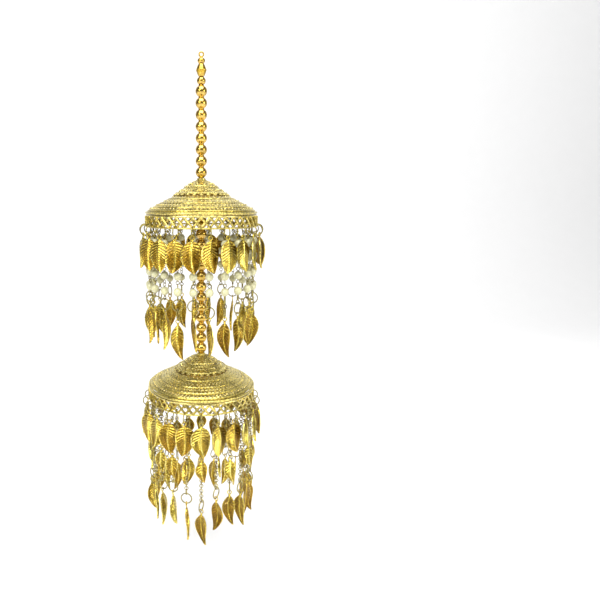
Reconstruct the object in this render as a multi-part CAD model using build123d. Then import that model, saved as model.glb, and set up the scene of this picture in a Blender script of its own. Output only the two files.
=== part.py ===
"""Kalire bridal ornament: gold beads on a wire carry two filigree domes, hung with leaves and pearl strings.

Millimetres, +Z up. The origin is the centre of the loop that the ornament hangs by. An azimuth is in
degrees round the stem, from the front (-Y) towards +X. A piece that hangs at an azimuth is modelled in a
local frame first: X along the tangent, Y outwards, Z up.
"""
import os
from math import cos, hypot, radians, sin, sqrt

from build123d import *

# Driving sizes: the stem and its beads
GAP = 0.1                    # play between neighbours on the stem
STEM_WIRE = 0.8              # wire diameter
BORE = 1.1                   # hole through beads, caps and domes
LOOP_RADIUS = 1.05           # hang loop, to the middle of its wire
LOOP_WIRE = 0.7
END_BEAD = (3.7, 2.7)        # diameter, height
BICONE = (5.2, 5.6)
SMALL_BEAD = (4.4, 3.8)
GOLD_BEAD = (5.7, 5.35)
BEAD_COLLAR = 1.45           # radius of the plain collar at each end of a gold bead
COLLAR_HEIGHT = 0.25
TOP_BEADS = 8
MIDDLE_BEADS = 13

# Driving sizes: the domes, heights from each dome's rim
RIM_DROP = 90.2              # from the upper rim to the lower rim
RIM_RADIUS = 27.9
WALL = 0.8
BAND_HEIGHT = 6.3            # rim to the middle of the edge wire
BAND_WALL = 0.6
EDGE_WIRE = 0.84
RIM_BEAD = 1.1
DOME_TOP = 13.0
SHOULDER = (14.0, 8.2)       # a point half way down the dome: radius, height
DOME_FOOT = (27.2, 1.2)
SLEEVE_RADIUS = 1.9
LOWER_SLEEVE_FOOT = 8.85      # the sleeve of the lower dome ends here, on the ball of the stem wire
RIDGE_RADII = (22.4, 24.2, 25.9)
RIDGE_WIRE = 0.7
CELLS = 44                   # crossings round the lattice band
STRUT = 0.6
LATTICE_TOP = -1.6           # the band is plain above this
RING_NOTCH = 0.2             # depth of the notch inside the band, where a jump ring passes

# Driving sizes: the cap over each dome
CAP_TOP = 17.2
CAP_COLLAR = (2.2, 0.9)      # radius, height
CAP_CROWN = ((2.4, 16.2), (4.9, 14.9), (7.8, 13.2))
CAP_FLARE = ((7.8, 13.2), (10.7, 11.0), (13.4, 9.5))
CAP_WALL = 0.7
SCALLOPS = 24
SCALLOP_RADIUS = 1.15
PETAL_ROWS = ((12, 10.6, 11.05, 37.0, 1.15), (10, 5.9, 14.35, 30.0, 1.0))  # count, radius, height, slope, size

# Driving sizes: rings, leaves and strings
RINGS = 22                   # jump rings round each edge wire, with one broad leaf and one string on each
RING_RADIUS = 2.7            # to the middle of the wire
RING_WIRE = 0.6
RING_OUT = 0.75              # the ring leans out from the edge wire by this
CLEAR = 0.12                 # play where rings, eyes and loops link
LEAF_ANGLE = 25.0            # place of the leaf on its ring, outwards from the lowest point
STRING_ANGLE = -40.0         # place of the string on the ring, inwards
LEAF_LOOP = (1.25, 0.75, 0.5)     # outer radius, hole radius, thickness
LEAF_WALL = 0.5
EYE_RADIUS = 0.95
EYE_WIRE = 0.44
PEARL = 4.0
THREAD = 0.5
PEARLS = 4
FIRST_PEARL = 3.55           # below the upper eye
PEARL_PITCH = 7.5
CHAIN_TUBE = 1.8
SIDE_VEINS = 5
VEIN_WIRE = 0.5

# Leaf outlines: share of the length, half width, sideways bend, outward bulge
BROAD_LEAF = dict(length=14.8, stalk=0.6, fold=0.16, stations=(
    (0.00, 1.0, 0.0, 0.0), (0.12, 3.2, 0.1, 0.4), (0.30, 4.8, 0.4, 0.9), (0.52, 4.7, 0.5, 1.2),
    (0.72, 3.5, 0.2, 1.3), (0.88, 1.8, -0.4, 1.4), (1.00, 0.3, -1.2, 1.8)))
LONG_LEAF = dict(length=16.6, stalk=1.6, fold=0.22, stations=(
    (0.00, 0.9, 0.0, 0.0), (0.13, 2.4, 0.2, 0.3), (0.30, 3.2, 0.5, 0.7), (0.52, 3.0, 0.5, 1.0),
    (0.73, 2.0, -0.1, 1.0), (0.89, 1.1, -1.0, 0.9), (1.00, 0.3, -2.0, 0.7)))
SMALL_LEAF = dict(length=11.0, stalk=0.7, fold=0.2, stations=(
    (0.00, 0.8, 0.0, 0.0), (0.14, 2.2, 0.1, 0.3), (0.34, 3.1, 0.3, 0.6), (0.56, 2.8, 0.3, 0.8),
    (0.78, 1.6, -0.2, 0.8), (1.00, 0.3, -1.1, 0.6)))

# Each tier: the azimuth of its first ring, in rings from the back
FIRST_RING = {"upper": 0.5, "lower": 0.0}

# Broad leaves, round from the back: turn about the upright in degrees, and which way the tip bends
UPPER_LEAVES = (
    (12, 1), (22, -1), (9, 1), (18, 1), (26, -1), (10, 1), (16, -1), (24, 1), (12, 1), (20, -1), (9, 1),
    (25, 1), (15, -1), (11, 1), (21, 1), (14, -1), (19, 1), (17, -1), (10, 1), (23, -1), (13, 1), (18, 1))
LOWER_LEAVES = (
    (14, -1), (20, 1), (28, 1), (10, -1), (21, 1), (24, 1), (12, -1), (27, 1), (9, -1), (18, 1), (20, -1),
    (10, 1), (25, -1), (12, 1), (22, 1), (9, -1), (26, -1), (15, 1), (19, 1), (11, -1), (23, 1), (17, -1))

# Pearl strings, round from the back: length added above the end ring, turn of the ring, second ring
UPPER_STRINGS = (
    (1.0, 30, False), (0.6, 65, False), (0.4, 75, False), (1.4, 20, False), (1.6, 10, False),
    (0.3, 50, False), (0.6, 35, False), (0.0, 60, False), (0.2, 10, False), (0.0, 40, True),
    (0.0, 25, False), (3.4, 20, False), (3.6, 55, False), (2.2, 10, False), (0.5, 70, False),
    (2.6, 30, False), (0.8, 60, False), (0.8, 25, False), (1.8, 85, False), (1.1, 40, False),
    (0.2, 70, False), (0.3, 45, False))

# Fine strings: drop from the edge wire to the end ring, drop to the small leaf, turn, leaf turn
LOWER_STRINGS = (
    (44.5, 22.0, 35, 10), (46.0, 24.0, 65, -25), (47.0, 24.5, 70, -30), (43.0, 22.5, 20, 35),
    (42.5, 21.5, 15, 40), (45.0, 23.8, 50, -20), (44.0, 22.4, 30, 20), (43.5, 23.5, 60, -15),
    (42.5, 22.2, 25, 30), (41.0, 22.5, 10, 25), (45.7, 24.0, 5, -40), (49.3, 23.0, 65, 15),
    (42.8, 22.0, 40, 70), (41.2, 24.8, 55, -20), (44.0, 22.2, 5, 75), (42.0, 23.2, 75, -35),
    (45.4, 22.8, 40, 15), (43.4, 24.4, 20, -15), (46.2, 24.2, 20, 20), (43.2, 21.8, 50, -10),
    (44.6, 23.0, 80, 25), (47.6, 23.6, 65, 30))

# Heights that follow from the sizes above
END_BEAD_Z = -LOOP_RADIUS - LOOP_WIRE / 2 - GAP - END_BEAD[1] / 2
BICONE_Z = END_BEAD_Z - (END_BEAD[1] + BICONE[1]) / 2 - GAP
SMALL_BEAD_Z = BICONE_Z - (BICONE[1] + SMALL_BEAD[1]) / 2 - GAP
TOP_BEAD_Z = SMALL_BEAD_Z - (SMALL_BEAD[1] + GOLD_BEAD[1]) / 2 - GAP
BEAD_PITCH = GOLD_BEAD[1] + GAP
UPPER_RIM_Z = TOP_BEAD_Z - TOP_BEADS * BEAD_PITCH + GOLD_BEAD[1] / 2 - CAP_TOP
LOWER_RIM_Z = UPPER_RIM_Z - RIM_DROP
LAST_MIDDLE_Z = LOWER_RIM_Z + CAP_TOP + GAP + GOLD_BEAD[1] / 2
FIRST_MIDDLE_Z = LAST_MIDDLE_Z + (MIDDLE_BEADS - 1) * BEAD_PITCH
UPPER_SLEEVE_FOOT = FIRST_MIDDLE_Z + GOLD_BEAD[1] / 2 + GAP - UPPER_RIM_Z

# Where the jump rings hang, in a dome's upright plane
EDGE_RADIUS = RIM_RADIUS - BAND_WALL / 4
RING_SLACK = RING_RADIUS - RING_WIRE / 2 - EDGE_WIRE / 2 - CLEAR
RING_DROP = sqrt(RING_SLACK ** 2 - RING_OUT ** 2)
RING_AXIS = EDGE_RADIUS + RING_OUT
LINK_PLAY = LEAF_LOOP[1] - RING_WIRE / 2 - CLEAR
SLANT_PLAY = 0.05            # for a broad leaf, as its ring slants through its hole
EYE_PLAY = EYE_RADIUS - EYE_WIRE / 2 - RING_WIRE / 2 - CLEAR


def on_ring(angle):
    """Radius and height under the rim of a place on a jump ring."""
    radius = RING_AXIS + RING_RADIUS * sin(radians(angle))
    height = -BAND_HEIGHT - RING_DROP - RING_RADIUS * cos(radians(angle))
    return radius, height


def around(azimuth):
    """The local frame's place at an azimuth."""
    return Rot(0, 0, 180 + azimuth)


def at_ring(tier, number):
    """The local frame's place at a tier's jump ring."""
    return around((number + FIRST_RING[tier]) * 360 / RINGS - 180)


def save(name, solids):
    """Write one node."""
    made = [solid for shape in solids for solid in shape.solids()]
    export_step(made[0] if len(made) == 1 else Compound(children=made), f"parts/{name}.step")


def save_pairs(name, sets):
    """Write one node for every two neighbours."""
    for k in range(0, len(sets), 2):
        save(f"{name}_{k // 2 + 1:02d}", sets[k] + sets[k + 1])


def bead(size, bore, collar=None):
    """A drilled bead, turned about Z. collar is the radius of the plain collar at each end, if it has one."""
    diameter, height = size
    hole, top = bore / 2, height / 2
    lip = collar or hole + 0.3
    end = top - COLLAR_HEIGHT if collar else top
    points = [(lip, top), (hole, top), (hole, -top), (lip, -top)]
    if collar:
        points = [(lip, end)] + points + [(lip, -end)]
    side = ThreePointArc((lip, -end), (diameter / 2, 0), (lip, end))
    return revolve(Plane.XZ * make_face(Polyline(*points) + side), Axis.Z)


def bicone():
    """A bead of two cones with a narrow waist band."""
    radius, top, hole = BICONE[0] / 2, BICONE[1] / 2, BORE / 2
    outline = Polyline(
        (hole, top), (radius * 0.55, top), (radius, 0.35), (radius, -0.35),
        (radius * 0.55, -top), (hole, -top), close=True)
    return revolve(Plane.XZ * make_face(outline), Axis.Z)


def link(radius, wire, edge_on=False):
    """A wire ring about the local origin: open to the outside, or edge-on to it."""
    turn = Rot(0, 90, 0) if edge_on else Rot(90, 0, 0)
    return turn * Torus(radius, wire / 2)


def stem_wire():
    """The hang loop, the wire through every bead, and the ball that holds the lower dome."""
    foot = LOWER_RIM_Z + LOWER_SLEEVE_FOOT - GAP
    top = -LOOP_RADIUS
    rod = Pos(0, 0, (top + foot) / 2) * Cylinder(STEM_WIRE / 2, top - foot + LOOP_WIRE / 2)
    ball = Pos(0, 0, foot - 1.4) * Sphere(1.5)
    return rod + ball + link(LOOP_RADIUS, LOOP_WIRE)


def cap():
    """The filigree cap: a crown and a flare in one thin wall, with scallops and raised petals."""
    hole = BORE / 2
    collar, height = CAP_COLLAR
    outer = (
        Polyline((hole, CAP_TOP), (collar, CAP_TOP), (collar, CAP_TOP - height), CAP_CROWN[0])
        + ThreePointArc(*CAP_CROWN) + ThreePointArc(*CAP_FLARE))
    foot = CAP_FLARE[-1]
    lowered = [[(r, z - CAP_WALL) for r, z in arc] for arc in (CAP_CROWN, CAP_FLARE)]
    inner = (
        Line(foot, lowered[1][-1]) + ThreePointArc(*lowered[1]) + ThreePointArc(*lowered[0])
        + Polyline(lowered[0][0], (hole, lowered[0][0][1]), (hole, CAP_TOP)))
    shell = revolve(Plane.XZ * make_face(outer + inner), Axis.Z)
    hem = []
    for k in range(SCALLOPS):
        disc = Pos(0, foot[0] - 0.25, foot[1] - 0.25) * Rot(-29, 0, 0) * Cylinder(SCALLOP_RADIUS, 0.6)
        hem.append(around(k * 360 / SCALLOPS) * disc)
    for count, radius, height, slope, size in PETAL_ROWS:
        for k in range(count):
            boss = Pos(0, radius, height) * Rot(-slope, 0, 0) * Cylinder(size, 0.7)
            hem.append(around((k + 0.5) * 360 / count) * boss)
    return shell + hem


def dome(tier, sleeve_foot):
    """Dome, rim, pierced band and edge wire, soldered into one."""
    hole = BORE / 2
    top = (hole, DOME_TOP)
    foot = DOME_FOOT
    wall = make_face(
        ThreePointArc(top, SHOULDER, foot) + Line(foot, (foot[0], foot[1] - WALL))
        + ThreePointArc((foot[0], foot[1] - WALL), (SHOULDER[0], SHOULDER[1] - WALL), (hole, DOME_TOP - WALL))
        + Line((hole, DOME_TOP - WALL), top))
    middle = (RIM_RADIUS - BAND_WALL / 2, (0.5 - BAND_HEIGHT) / 2)
    section = wall + Pos(*middle) * Rectangle(BAND_WALL, BAND_HEIGHT + 0.5)
    section += Pos(RIM_RADIUS - 0.2, 0.45) * Circle(RIM_BEAD / 2)
    section += Pos(EDGE_RADIUS, -BAND_HEIGHT) * Circle(EDGE_WIRE / 2)
    for radius in RIDGE_RADII:
        share = (radius - SHOULDER[0]) / (foot[0] - SHOULDER[0])
        height = SHOULDER[1] + share * (foot[1] - SHOULDER[1]) + 0.5 * share * (1 - share)
        section += Pos(radius, height) * Circle(RIDGE_WIRE / 2)
    sleeve_top = DOME_TOP - 0.6
    sleeve = ((hole + SLEEVE_RADIUS) / 2, (sleeve_top + sleeve_foot) / 2)
    section += Pos(*sleeve) * Rectangle(SLEEVE_RADIUS - hole, sleeve_top - sleeve_foot)
    whole = revolve(Plane.XZ * section, Axis.Z)
    return whole - lattice_gaps(tier)


def lattice_gaps(tier):
    """The openings between the crossed struts: diamonds, and a window and a notch over each jump ring."""
    high = LATTICE_TOP
    low = -BAND_HEIGHT + EDGE_WIRE / 2
    mid = (high + low) / 2
    half = (high - low) / 2
    width = RIM_RADIUS * radians(360 / CELLS) / 2
    slant = hypot(half, width)
    side = width - STRUT / 2 * slant / half
    rise = half - STRUT / 2 * slant / width
    diamond = make_face(Polyline((side, 0), (0, rise), (-side, 0), (0, -rise), close=True))
    window = make_face(Polyline((side, -half), (0, -half + rise), (-side, -half), close=True))
    gaps = []
    for k in range(CELLS):
        place = around((k + 0.5) * 360 / CELLS) * Pos(0, RIM_RADIUS + 1, mid)
        gaps.append(place * extrude(Plane.XZ * diamond, 3))
    for k in range(RINGS):
        place = at_ring(tier, k) * Pos(0, RIM_RADIUS + 1, mid)
        gaps.append(place * extrude(Plane.XZ * window, 3))
        notch = Box(1.2, 0.6, RING_NOTCH, align=(Align.CENTER, Align.CENTER, Align.MAX))
        gaps.append(at_ring(tier, k) * Pos(0, RIM_RADIUS - BAND_WALL, low) * notch)
    return gaps


def at_station(leaf, share):
    """Half width, bend and bulge of a leaf at a share of its length."""
    rows = leaf["stations"]
    for a, b in zip(rows, rows[1:]):
        if share <= b[0]:
            f = (share - a[0]) / (b[0] - a[0])
            return [p + f * (q - p) for p, q in zip(a[1:], b[1:])]
    return rows[-1][1:]


def leaf_solid(leaf):
    """A stamped leaf: a folded blade with raised midrib and side veins, hung from a flat loop."""
    outer, hole, thick = LEAF_LOOP
    start = -outer - leaf["stalk"] + 0.4
    sections = []
    for share, half, bend, bulge in leaf["stations"]:
        low = leaf["fold"] * half
        rib = min(0.35, half * 0.4)
        outline = Polyline(
            (-half, -low), (-rib, 0), (0, rib), (rib, 0), (half, -low),
            (half, -low - LEAF_WALL), (0, -LEAF_WALL), (-half, -low - LEAF_WALL), close=True)
        sections.append(Pos(bend, bulge + LEAF_WALL / 2, start - share * leaf["length"]) * make_face(outline))
    blade = loft(sections)
    veins = []
    for k in range(SIDE_VEINS):
        inner = 0.10 + 0.62 * k / (SIDE_VEINS - 1)
        tip = inner + 0.13
        half, bend, bulge = at_station(leaf, inner)
        reach, tip_bend, tip_bulge = at_station(leaf, tip)
        for hand in (-1, 1):
            a = Vector(bend, bulge + LEAF_WALL / 2, start - inner * leaf["length"])
            b = Vector(
                tip_bend + hand * reach * 0.85, tip_bulge + LEAF_WALL / 2 - 0.85 * leaf["fold"] * reach,
                start - tip * leaf["length"])
            bar = Cylinder(VEIN_WIRE / 2, (b - a).length, align=(Align.CENTER, Align.CENTER, Align.MIN))
            veins.append(Plane(origin=a, z_dir=b - a) * bar)
    stalk_length = leaf["stalk"] + 0.8
    stalk = Pos(0, 0, -outer + 0.2 - stalk_length / 2) * Box(1.3, thick, stalk_length)
    loop = Rot(90, 0, 0) * (Cylinder(outer, thick) - Cylinder(hole, thick + 1))
    return blade + veins + (stalk - Rot(90, 0, 0) * Cylinder(hole, thick + 1)) + loop


def broad_leaf(shape, place, rim, turn, hand):
    """One jump ring on the edge wire, with its broad leaf."""
    ring = place * Pos(0, RING_AXIS, rim - BAND_HEIGHT - RING_DROP) * link(RING_RADIUS, RING_WIRE, True)
    radius, height = on_ring(LEAF_ANGLE)
    hung = shape if hand > 0 else mirror(shape, Plane.YZ)
    return [ring, place * Pos(0, radius, rim + height - SLANT_PLAY) * Rot(0, 0, turn) * hung]


def eyes(top, foot, turn):
    """The wire eyes at a string's two ends. turn is that of the ring under the lower one."""
    lower = Pos(0, 0, foot) * Rot(0, 0, turn) * link(EYE_RADIUS, EYE_WIRE, True)
    return Pos(0, 0, top) * link(EYE_RADIUS, EYE_WIRE) + lower


def drop(shape, place, height, turn, hand, second):
    """The end ring or rings of a string, and the leaf on them. height is the middle of the first ring."""
    rings = [place * Pos(0, 0, height) * Rot(0, 0, turn) * link(RING_RADIUS, RING_WIRE)]
    if second:
        height -= 2 * RING_RADIUS - RING_WIRE - CLEAR
        rings.append(place * Pos(0, 0, height) * Rot(0, 0, turn + 90) * link(RING_RADIUS, RING_WIRE))
    hung = shape if hand > 0 else mirror(shape, Plane.YZ)
    face = turn + (0 if second else 90)
    height -= RING_RADIUS + LINK_PLAY
    return rings + [place * Pos(0, 0, height) * Rot(0, 0, face) * hung]


def main():
    os.makedirs("parts", exist_ok=True)
    gold = bead(GOLD_BEAD, BORE, BEAD_COLLAR)
    save("stem_wire", [stem_wire()])
    save("end_bead", [Pos(0, 0, END_BEAD_Z) * bead(END_BEAD, BORE)])
    save("bicone_bead", [Pos(0, 0, BICONE_Z) * bicone()])
    save("small_bead", [Pos(0, 0, SMALL_BEAD_Z) * bead(SMALL_BEAD, BORE)])
    save("top_beads", [Pos(0, 0, TOP_BEAD_Z - k * BEAD_PITCH) * gold for k in range(TOP_BEADS)])
    save("middle_beads", [Pos(0, 0, FIRST_MIDDLE_Z - k * BEAD_PITCH) * gold for k in range(MIDDLE_BEADS)])

    one_cap = cap()
    for tier, rim, foot in (("upper", UPPER_RIM_Z, UPPER_SLEEVE_FOOT), ("lower", LOWER_RIM_Z, LOWER_SLEEVE_FOOT)):
        save(f"{tier}_cap", [Pos(0, 0, rim) * one_cap])
        save(f"{tier}_dome", [Pos(0, 0, rim) * dome(tier, foot)])

    broad, long_leaf, small = (leaf_solid(leaf) for leaf in (BROAD_LEAF, LONG_LEAF, SMALL_LEAF))
    for tier, rim, rows in (("upper", UPPER_RIM_Z, UPPER_LEAVES), ("lower", LOWER_RIM_Z, LOWER_LEAVES)):
        hung = []
        for number, (turn, hand) in enumerate(rows):
            hung.append(broad_leaf(broad, at_ring(tier, number), rim, turn, hand))
        save_pairs(f"{tier}_leaves", hung)

    radius, eye = on_ring(STRING_ANGLE)
    eye -= EYE_PLAY / 4
    strings, drops = [], []
    for number, (more, turn, second) in enumerate(UPPER_STRINGS):
        place = at_ring("upper", number) * Pos(0, radius, 0)
        top = UPPER_RIM_Z + eye
        foot = top - FIRST_PEARL - (PEARLS - 1) * PEARL_PITCH - PEARL / 2 - 1.3 - more
        string = Pos(0, 0, (top + foot) / 2) * Cylinder(THREAD / 2, top - foot - 2 * EYE_RADIUS)
        string += [Pos(0, 0, top - FIRST_PEARL - k * PEARL_PITCH) * Sphere(PEARL / 2) for k in range(PEARLS)]
        string += eyes(top, foot, turn)
        strings.append([place * string])
        drops += drop(long_leaf, place, foot - EYE_PLAY - RING_RADIUS, turn, 1 if number % 2 else -1, second)
    save_pairs("upper_string", strings)
    save("upper_drops", drops)

    strings, drops = [], []
    for number, (fall, leaf_fall, turn, leaf_turn) in enumerate(LOWER_STRINGS):
        place = at_ring("lower", number) * Pos(0, radius, 0)
        top = LOWER_RIM_Z + eye
        ring_z = LOWER_RIM_Z - BAND_HEIGHT - fall
        foot = ring_z + RING_RADIUS + EYE_PLAY
        string = Pos(0, 0, (top + foot) / 2) * Cylinder(THREAD / 2, top - foot - 2 * EYE_RADIUS)
        string += Pos(0, 0, (top + foot) / 2) * Cylinder(CHAIN_TUBE / 2, top - foot - 2 * EYE_RADIUS - EYE_WIRE)
        string += Pos(0, 0, LOWER_RIM_Z - BAND_HEIGHT - leaf_fall) * Rot(0, 0, leaf_turn) * Pos(0, 1.0, 0) * small
        string += eyes(top, foot, turn)
        strings.append([place * string])
        drops += drop(long_leaf, place, ring_z, turn, -1 if number % 3 else 1, False)
    save_pairs("lower_string", strings)
    save("lower_drops", drops)


main()
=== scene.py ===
"""Kalire bridal ornament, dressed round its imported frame.

Sizes in this file are millimetres unless a name or a property says otherwise. A piece that hangs at an
azimuth, in degrees from the front towards +X, is made in a local frame first: X along the tangent,
Y outwards, Z up.
"""

import random
from math import atan2, cos, exp, hypot, pi, radians, sin

import bpy
from bpy.props import FloatProperty, FloatVectorProperty, IntProperty, PointerProperty
from mathutils import Matrix, Vector


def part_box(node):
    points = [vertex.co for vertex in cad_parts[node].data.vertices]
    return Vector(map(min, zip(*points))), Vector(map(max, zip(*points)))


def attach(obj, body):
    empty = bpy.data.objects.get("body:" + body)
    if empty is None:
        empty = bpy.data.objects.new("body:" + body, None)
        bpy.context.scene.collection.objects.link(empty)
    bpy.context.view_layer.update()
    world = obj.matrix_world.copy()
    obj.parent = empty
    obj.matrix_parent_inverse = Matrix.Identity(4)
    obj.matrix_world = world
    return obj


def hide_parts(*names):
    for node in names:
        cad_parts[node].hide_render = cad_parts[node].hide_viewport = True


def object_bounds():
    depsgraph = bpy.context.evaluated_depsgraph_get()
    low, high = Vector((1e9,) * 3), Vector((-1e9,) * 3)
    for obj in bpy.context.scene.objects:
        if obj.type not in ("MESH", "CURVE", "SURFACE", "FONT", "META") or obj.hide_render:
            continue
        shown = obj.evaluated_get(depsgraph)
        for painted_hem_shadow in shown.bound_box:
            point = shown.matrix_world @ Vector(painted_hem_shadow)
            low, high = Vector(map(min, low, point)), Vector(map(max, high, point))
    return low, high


bl_info = {
    "name": "Kalire Bridal Ornament",
    "version": (1, 0, 0),
    "blender": (4, 5, 0),
    "location": "View3D > Sidebar > Kalire",
    "description": "Builds a kalire ornament: domes, leaves, pearl strings and fine chains",
    "category": "Add Mesh",
}

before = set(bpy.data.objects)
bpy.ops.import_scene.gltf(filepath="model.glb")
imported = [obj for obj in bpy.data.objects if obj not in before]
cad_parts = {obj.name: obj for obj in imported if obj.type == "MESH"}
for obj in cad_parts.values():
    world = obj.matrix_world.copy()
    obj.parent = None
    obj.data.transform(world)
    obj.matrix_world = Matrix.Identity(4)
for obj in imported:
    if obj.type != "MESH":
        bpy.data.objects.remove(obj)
CAD_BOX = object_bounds()
MM = 0.001

# Heights on the stem, and the domes from their rims
DOME_TOP = 13.0
RIM = {tier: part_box(f"{tier}_dome")[1].z / MM - DOME_TOP for tier in ("upper", "lower")}
BORE = 1.1
LOOP_RADIUS = 1.05
LOOP_WIRE = 0.7
STEM_WIRE = 0.8
BEAD_COLLAR = 1.45
COLLAR_HEIGHT = 0.25
SLEEVE_RADIUS = 1.9
SLEEVE_FOOT = {"upper": -2.05, "lower": 8.85}
RIM_RADIUS = 27.9
BAND_HEIGHT = 6.3
BAND_WALL = 0.6
EDGE_RADIUS = 27.75
EDGE_WIRE = 0.84
DOME_ARC = ((0.55, 13.0), (14.0, 8.2), (27.2, 1.2))
WALL = 0.8
CAP_TOP = 17.2
CROWN_ARC = ((2.4, 16.2), (4.9, 14.9), (7.8, 13.2))
FLARE_ARC = ((7.8, 13.2), (10.7, 11.0), (13.4, 9.5))
CAP_WALL = 0.7
SCALLOPS = 24
PETAL_ROWS = ((12, 10.6, 11.05, 37.0, 1.15), (10, 5.9, 14.35, 30.0, 1.0))

# Rings, leaves and strings
RINGS = 22
FIRST_RING = {"upper": 0.5, "lower": 0.0}    # azimuth of the first ring, in rings from the back
RING_AXIS = 28.5
RING_DROP = 1.702
LEAF_HANG = (29.641, -10.499)      # radius of a broad leaf's hole, and its height from the rim
STRING_HANG = (26.764, -10.147)    # the same for the top eye of a string
LINK_PLAY = 0.33
EYE_PLAY = 0.31
EYE_RADIUS = 0.95
EYE_WIRE = 0.44
THREAD = 0.5
PEARLS = 4
FIRST_PEARL = 3.55
PEARL_PITCH = 7.5
LEAF_LOOP = (1.25, 0.75, 0.5)      # outer and inner radius, and thickness
BEAD = (5.7, 5.35)                 # diameter and height of a gold bead
STEM_BALL = 1.5
PEARL_HOLE = 0.75
COIL_WIRE = 0.16
COIL_PITCH = 0.36
LINK_EYE = (0.80, 0.36)            # radius and wire of the eyes between two pearls
RING_TONE = 0.75
STRUT_TONE = 0.42
LINK_TONE = 0.85

# Platings: painted shade share in grooves, painted highlight share on ridges, roughness, patches, painted
# sparkle, dents, and the dents' depth
PLATINGS = {
    "leaf": (0.36, 0.3, 0.22, 260, 0.6, 1100, 0.1),
    "pale": (0.3, 0.25, 0.26, 200, 0.5, 700, 0.12),
    "bead": (0.3, 0.25, 0.16, 220, 0.3, 500, 0.06),
    "wire": (0.5, 0.2, 0.22, 400, 0.4, 900, 0.03),
    "chain": (0.45, 0.3, 0.24, 400, 0.4, 1200, 0.03),
}

# Belts of holes on a dome: inner and outer radius, rows, holes in a row
DOME_BELTS = ((12.4, 16.6, 3, 46), (16.6, 20.6, 3, 58), (20.6, 24.0, 2, 72), (24.2, 26.7, 1, 84))
DOME_RIDGES = ((12.5, 0.3), (16.6, 0.28), (20.6, 0.28), (24.1, 0.35), (26.75, 0.3))
DOME_GRAINS = ((14.4, 46, 0.75), (18.6, 58, 0.75), (22.3, 72, 0.85), (25.4, 84, 1.1))

# Leaf outlines: share of the length, half width, sideways bend, outward bulge
BROAD_LEAF = dict(length=14.8, stalk=0.6, fold=0.16, veins=14, stations=(
    (0.00, 1.0, 0.0, 0.0), (0.10, 3.3, 0.1, 0.4), (0.26, 4.7, 0.4, 0.8), (0.46, 4.9, 0.5, 1.0),
    (0.66, 4.3, 0.3, 1.0), (0.83, 2.9, -0.2, 1.1), (0.94, 1.4, -0.7, 1.3), (1.00, 0.3, -1.1, 1.4)))
LONG_LEAF = dict(length=16.6, stalk=1.6, fold=0.22, veins=14, stations=(
    (0.00, 0.9, 0.0, 0.0), (0.13, 2.4, 0.2, 0.3), (0.30, 3.2, 0.5, 0.7), (0.52, 3.0, 0.5, 1.0),
    (0.73, 2.0, -0.1, 1.0), (0.89, 1.1, -1.0, 0.9), (1.00, 0.3, -2.0, 0.7)))
SMALL_LEAF = dict(length=11.0, stalk=0.7, fold=0.2, veins=9, stations=(
    (0.00, 0.8, 0.0, 0.0), (0.14, 2.2, 0.1, 0.3), (0.34, 3.1, 0.3, 0.6), (0.56, 2.8, 0.3, 0.8),
    (0.78, 1.6, -0.2, 0.8), (1.00, 0.3, -1.1, 0.6)))
BLADE_COLUMNS = (0.06, 0.14, 0.3, 0.5, 0.7, 0.86, 0.94, 1.0)
ROWS_PER_VEIN = 4
VEIN_SLANT = 0.24

# Broad leaves, round from the back: turn about the upright, and which way the tip bends
UPPER_LEAVES = (
    (12, 1), (22, -1), (9, 1), (18, 1), (26, -1), (10, 1), (16, -1), (24, 1), (12, 1), (20, -1), (9, 1),
    (25, 1), (15, -1), (11, 1), (21, 1), (14, -1), (19, 1), (17, -1), (10, 1), (23, -1), (13, 1), (18, 1))
LOWER_LEAVES = (
    (14, -1), (20, 1), (28, 1), (10, -1), (21, 1), (24, 1), (12, -1), (27, 1), (9, -1), (18, 1), (20, -1),
    (10, 1), (25, -1), (12, 1), (22, 1), (9, -1), (26, -1), (15, 1), (19, 1), (11, -1), (23, 1), (17, -1))

# Pearl strings, round from the back: length added above the end ring, turn of the ring, second ring
UPPER_STRINGS = (
    (1.0, 30, False), (0.6, 65, False), (0.4, 75, False), (1.4, 20, False), (1.6, 10, False),
    (0.3, 50, False), (0.6, 35, False), (0.0, 60, False), (0.2, 10, False), (0.0, 40, True),
    (0.0, 25, False), (3.4, 20, False), (3.6, 55, False), (2.2, 10, False), (0.5, 70, False),
    (2.6, 30, False), (0.8, 60, False), (0.8, 25, False), (1.8, 85, False), (1.1, 40, False),
    (0.2, 70, False), (0.3, 45, False))

# Fine strings: drop from the edge wire to the end ring, drop to the small leaf, turn, leaf turn
LOWER_STRINGS = (
    (44.5, 22.0, 35, 10), (46.0, 24.0, 65, -25), (47.0, 24.5, 70, -30), (43.0, 22.5, 20, 35),
    (42.5, 21.5, 15, 40), (45.0, 23.8, 50, -20), (44.0, 22.4, 30, 20), (43.5, 23.5, 60, -15),
    (42.5, 22.2, 25, 30), (41.0, 22.5, 10, 25), (45.7, 24.0, 5, -40), (49.3, 23.0, 65, 15),
    (42.8, 22.0, 40, 70), (41.2, 24.8, 55, -20), (44.0, 22.2, 5, 75), (42.0, 23.2, 75, -35),
    (45.4, 22.8, 40, 15), (43.4, 24.4, 20, -15), (46.2, 24.2, 20, 20), (43.2, 21.8, 50, -10),
    (44.6, 23.0, 80, 25), (47.6, 23.6, 65, 30))


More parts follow.
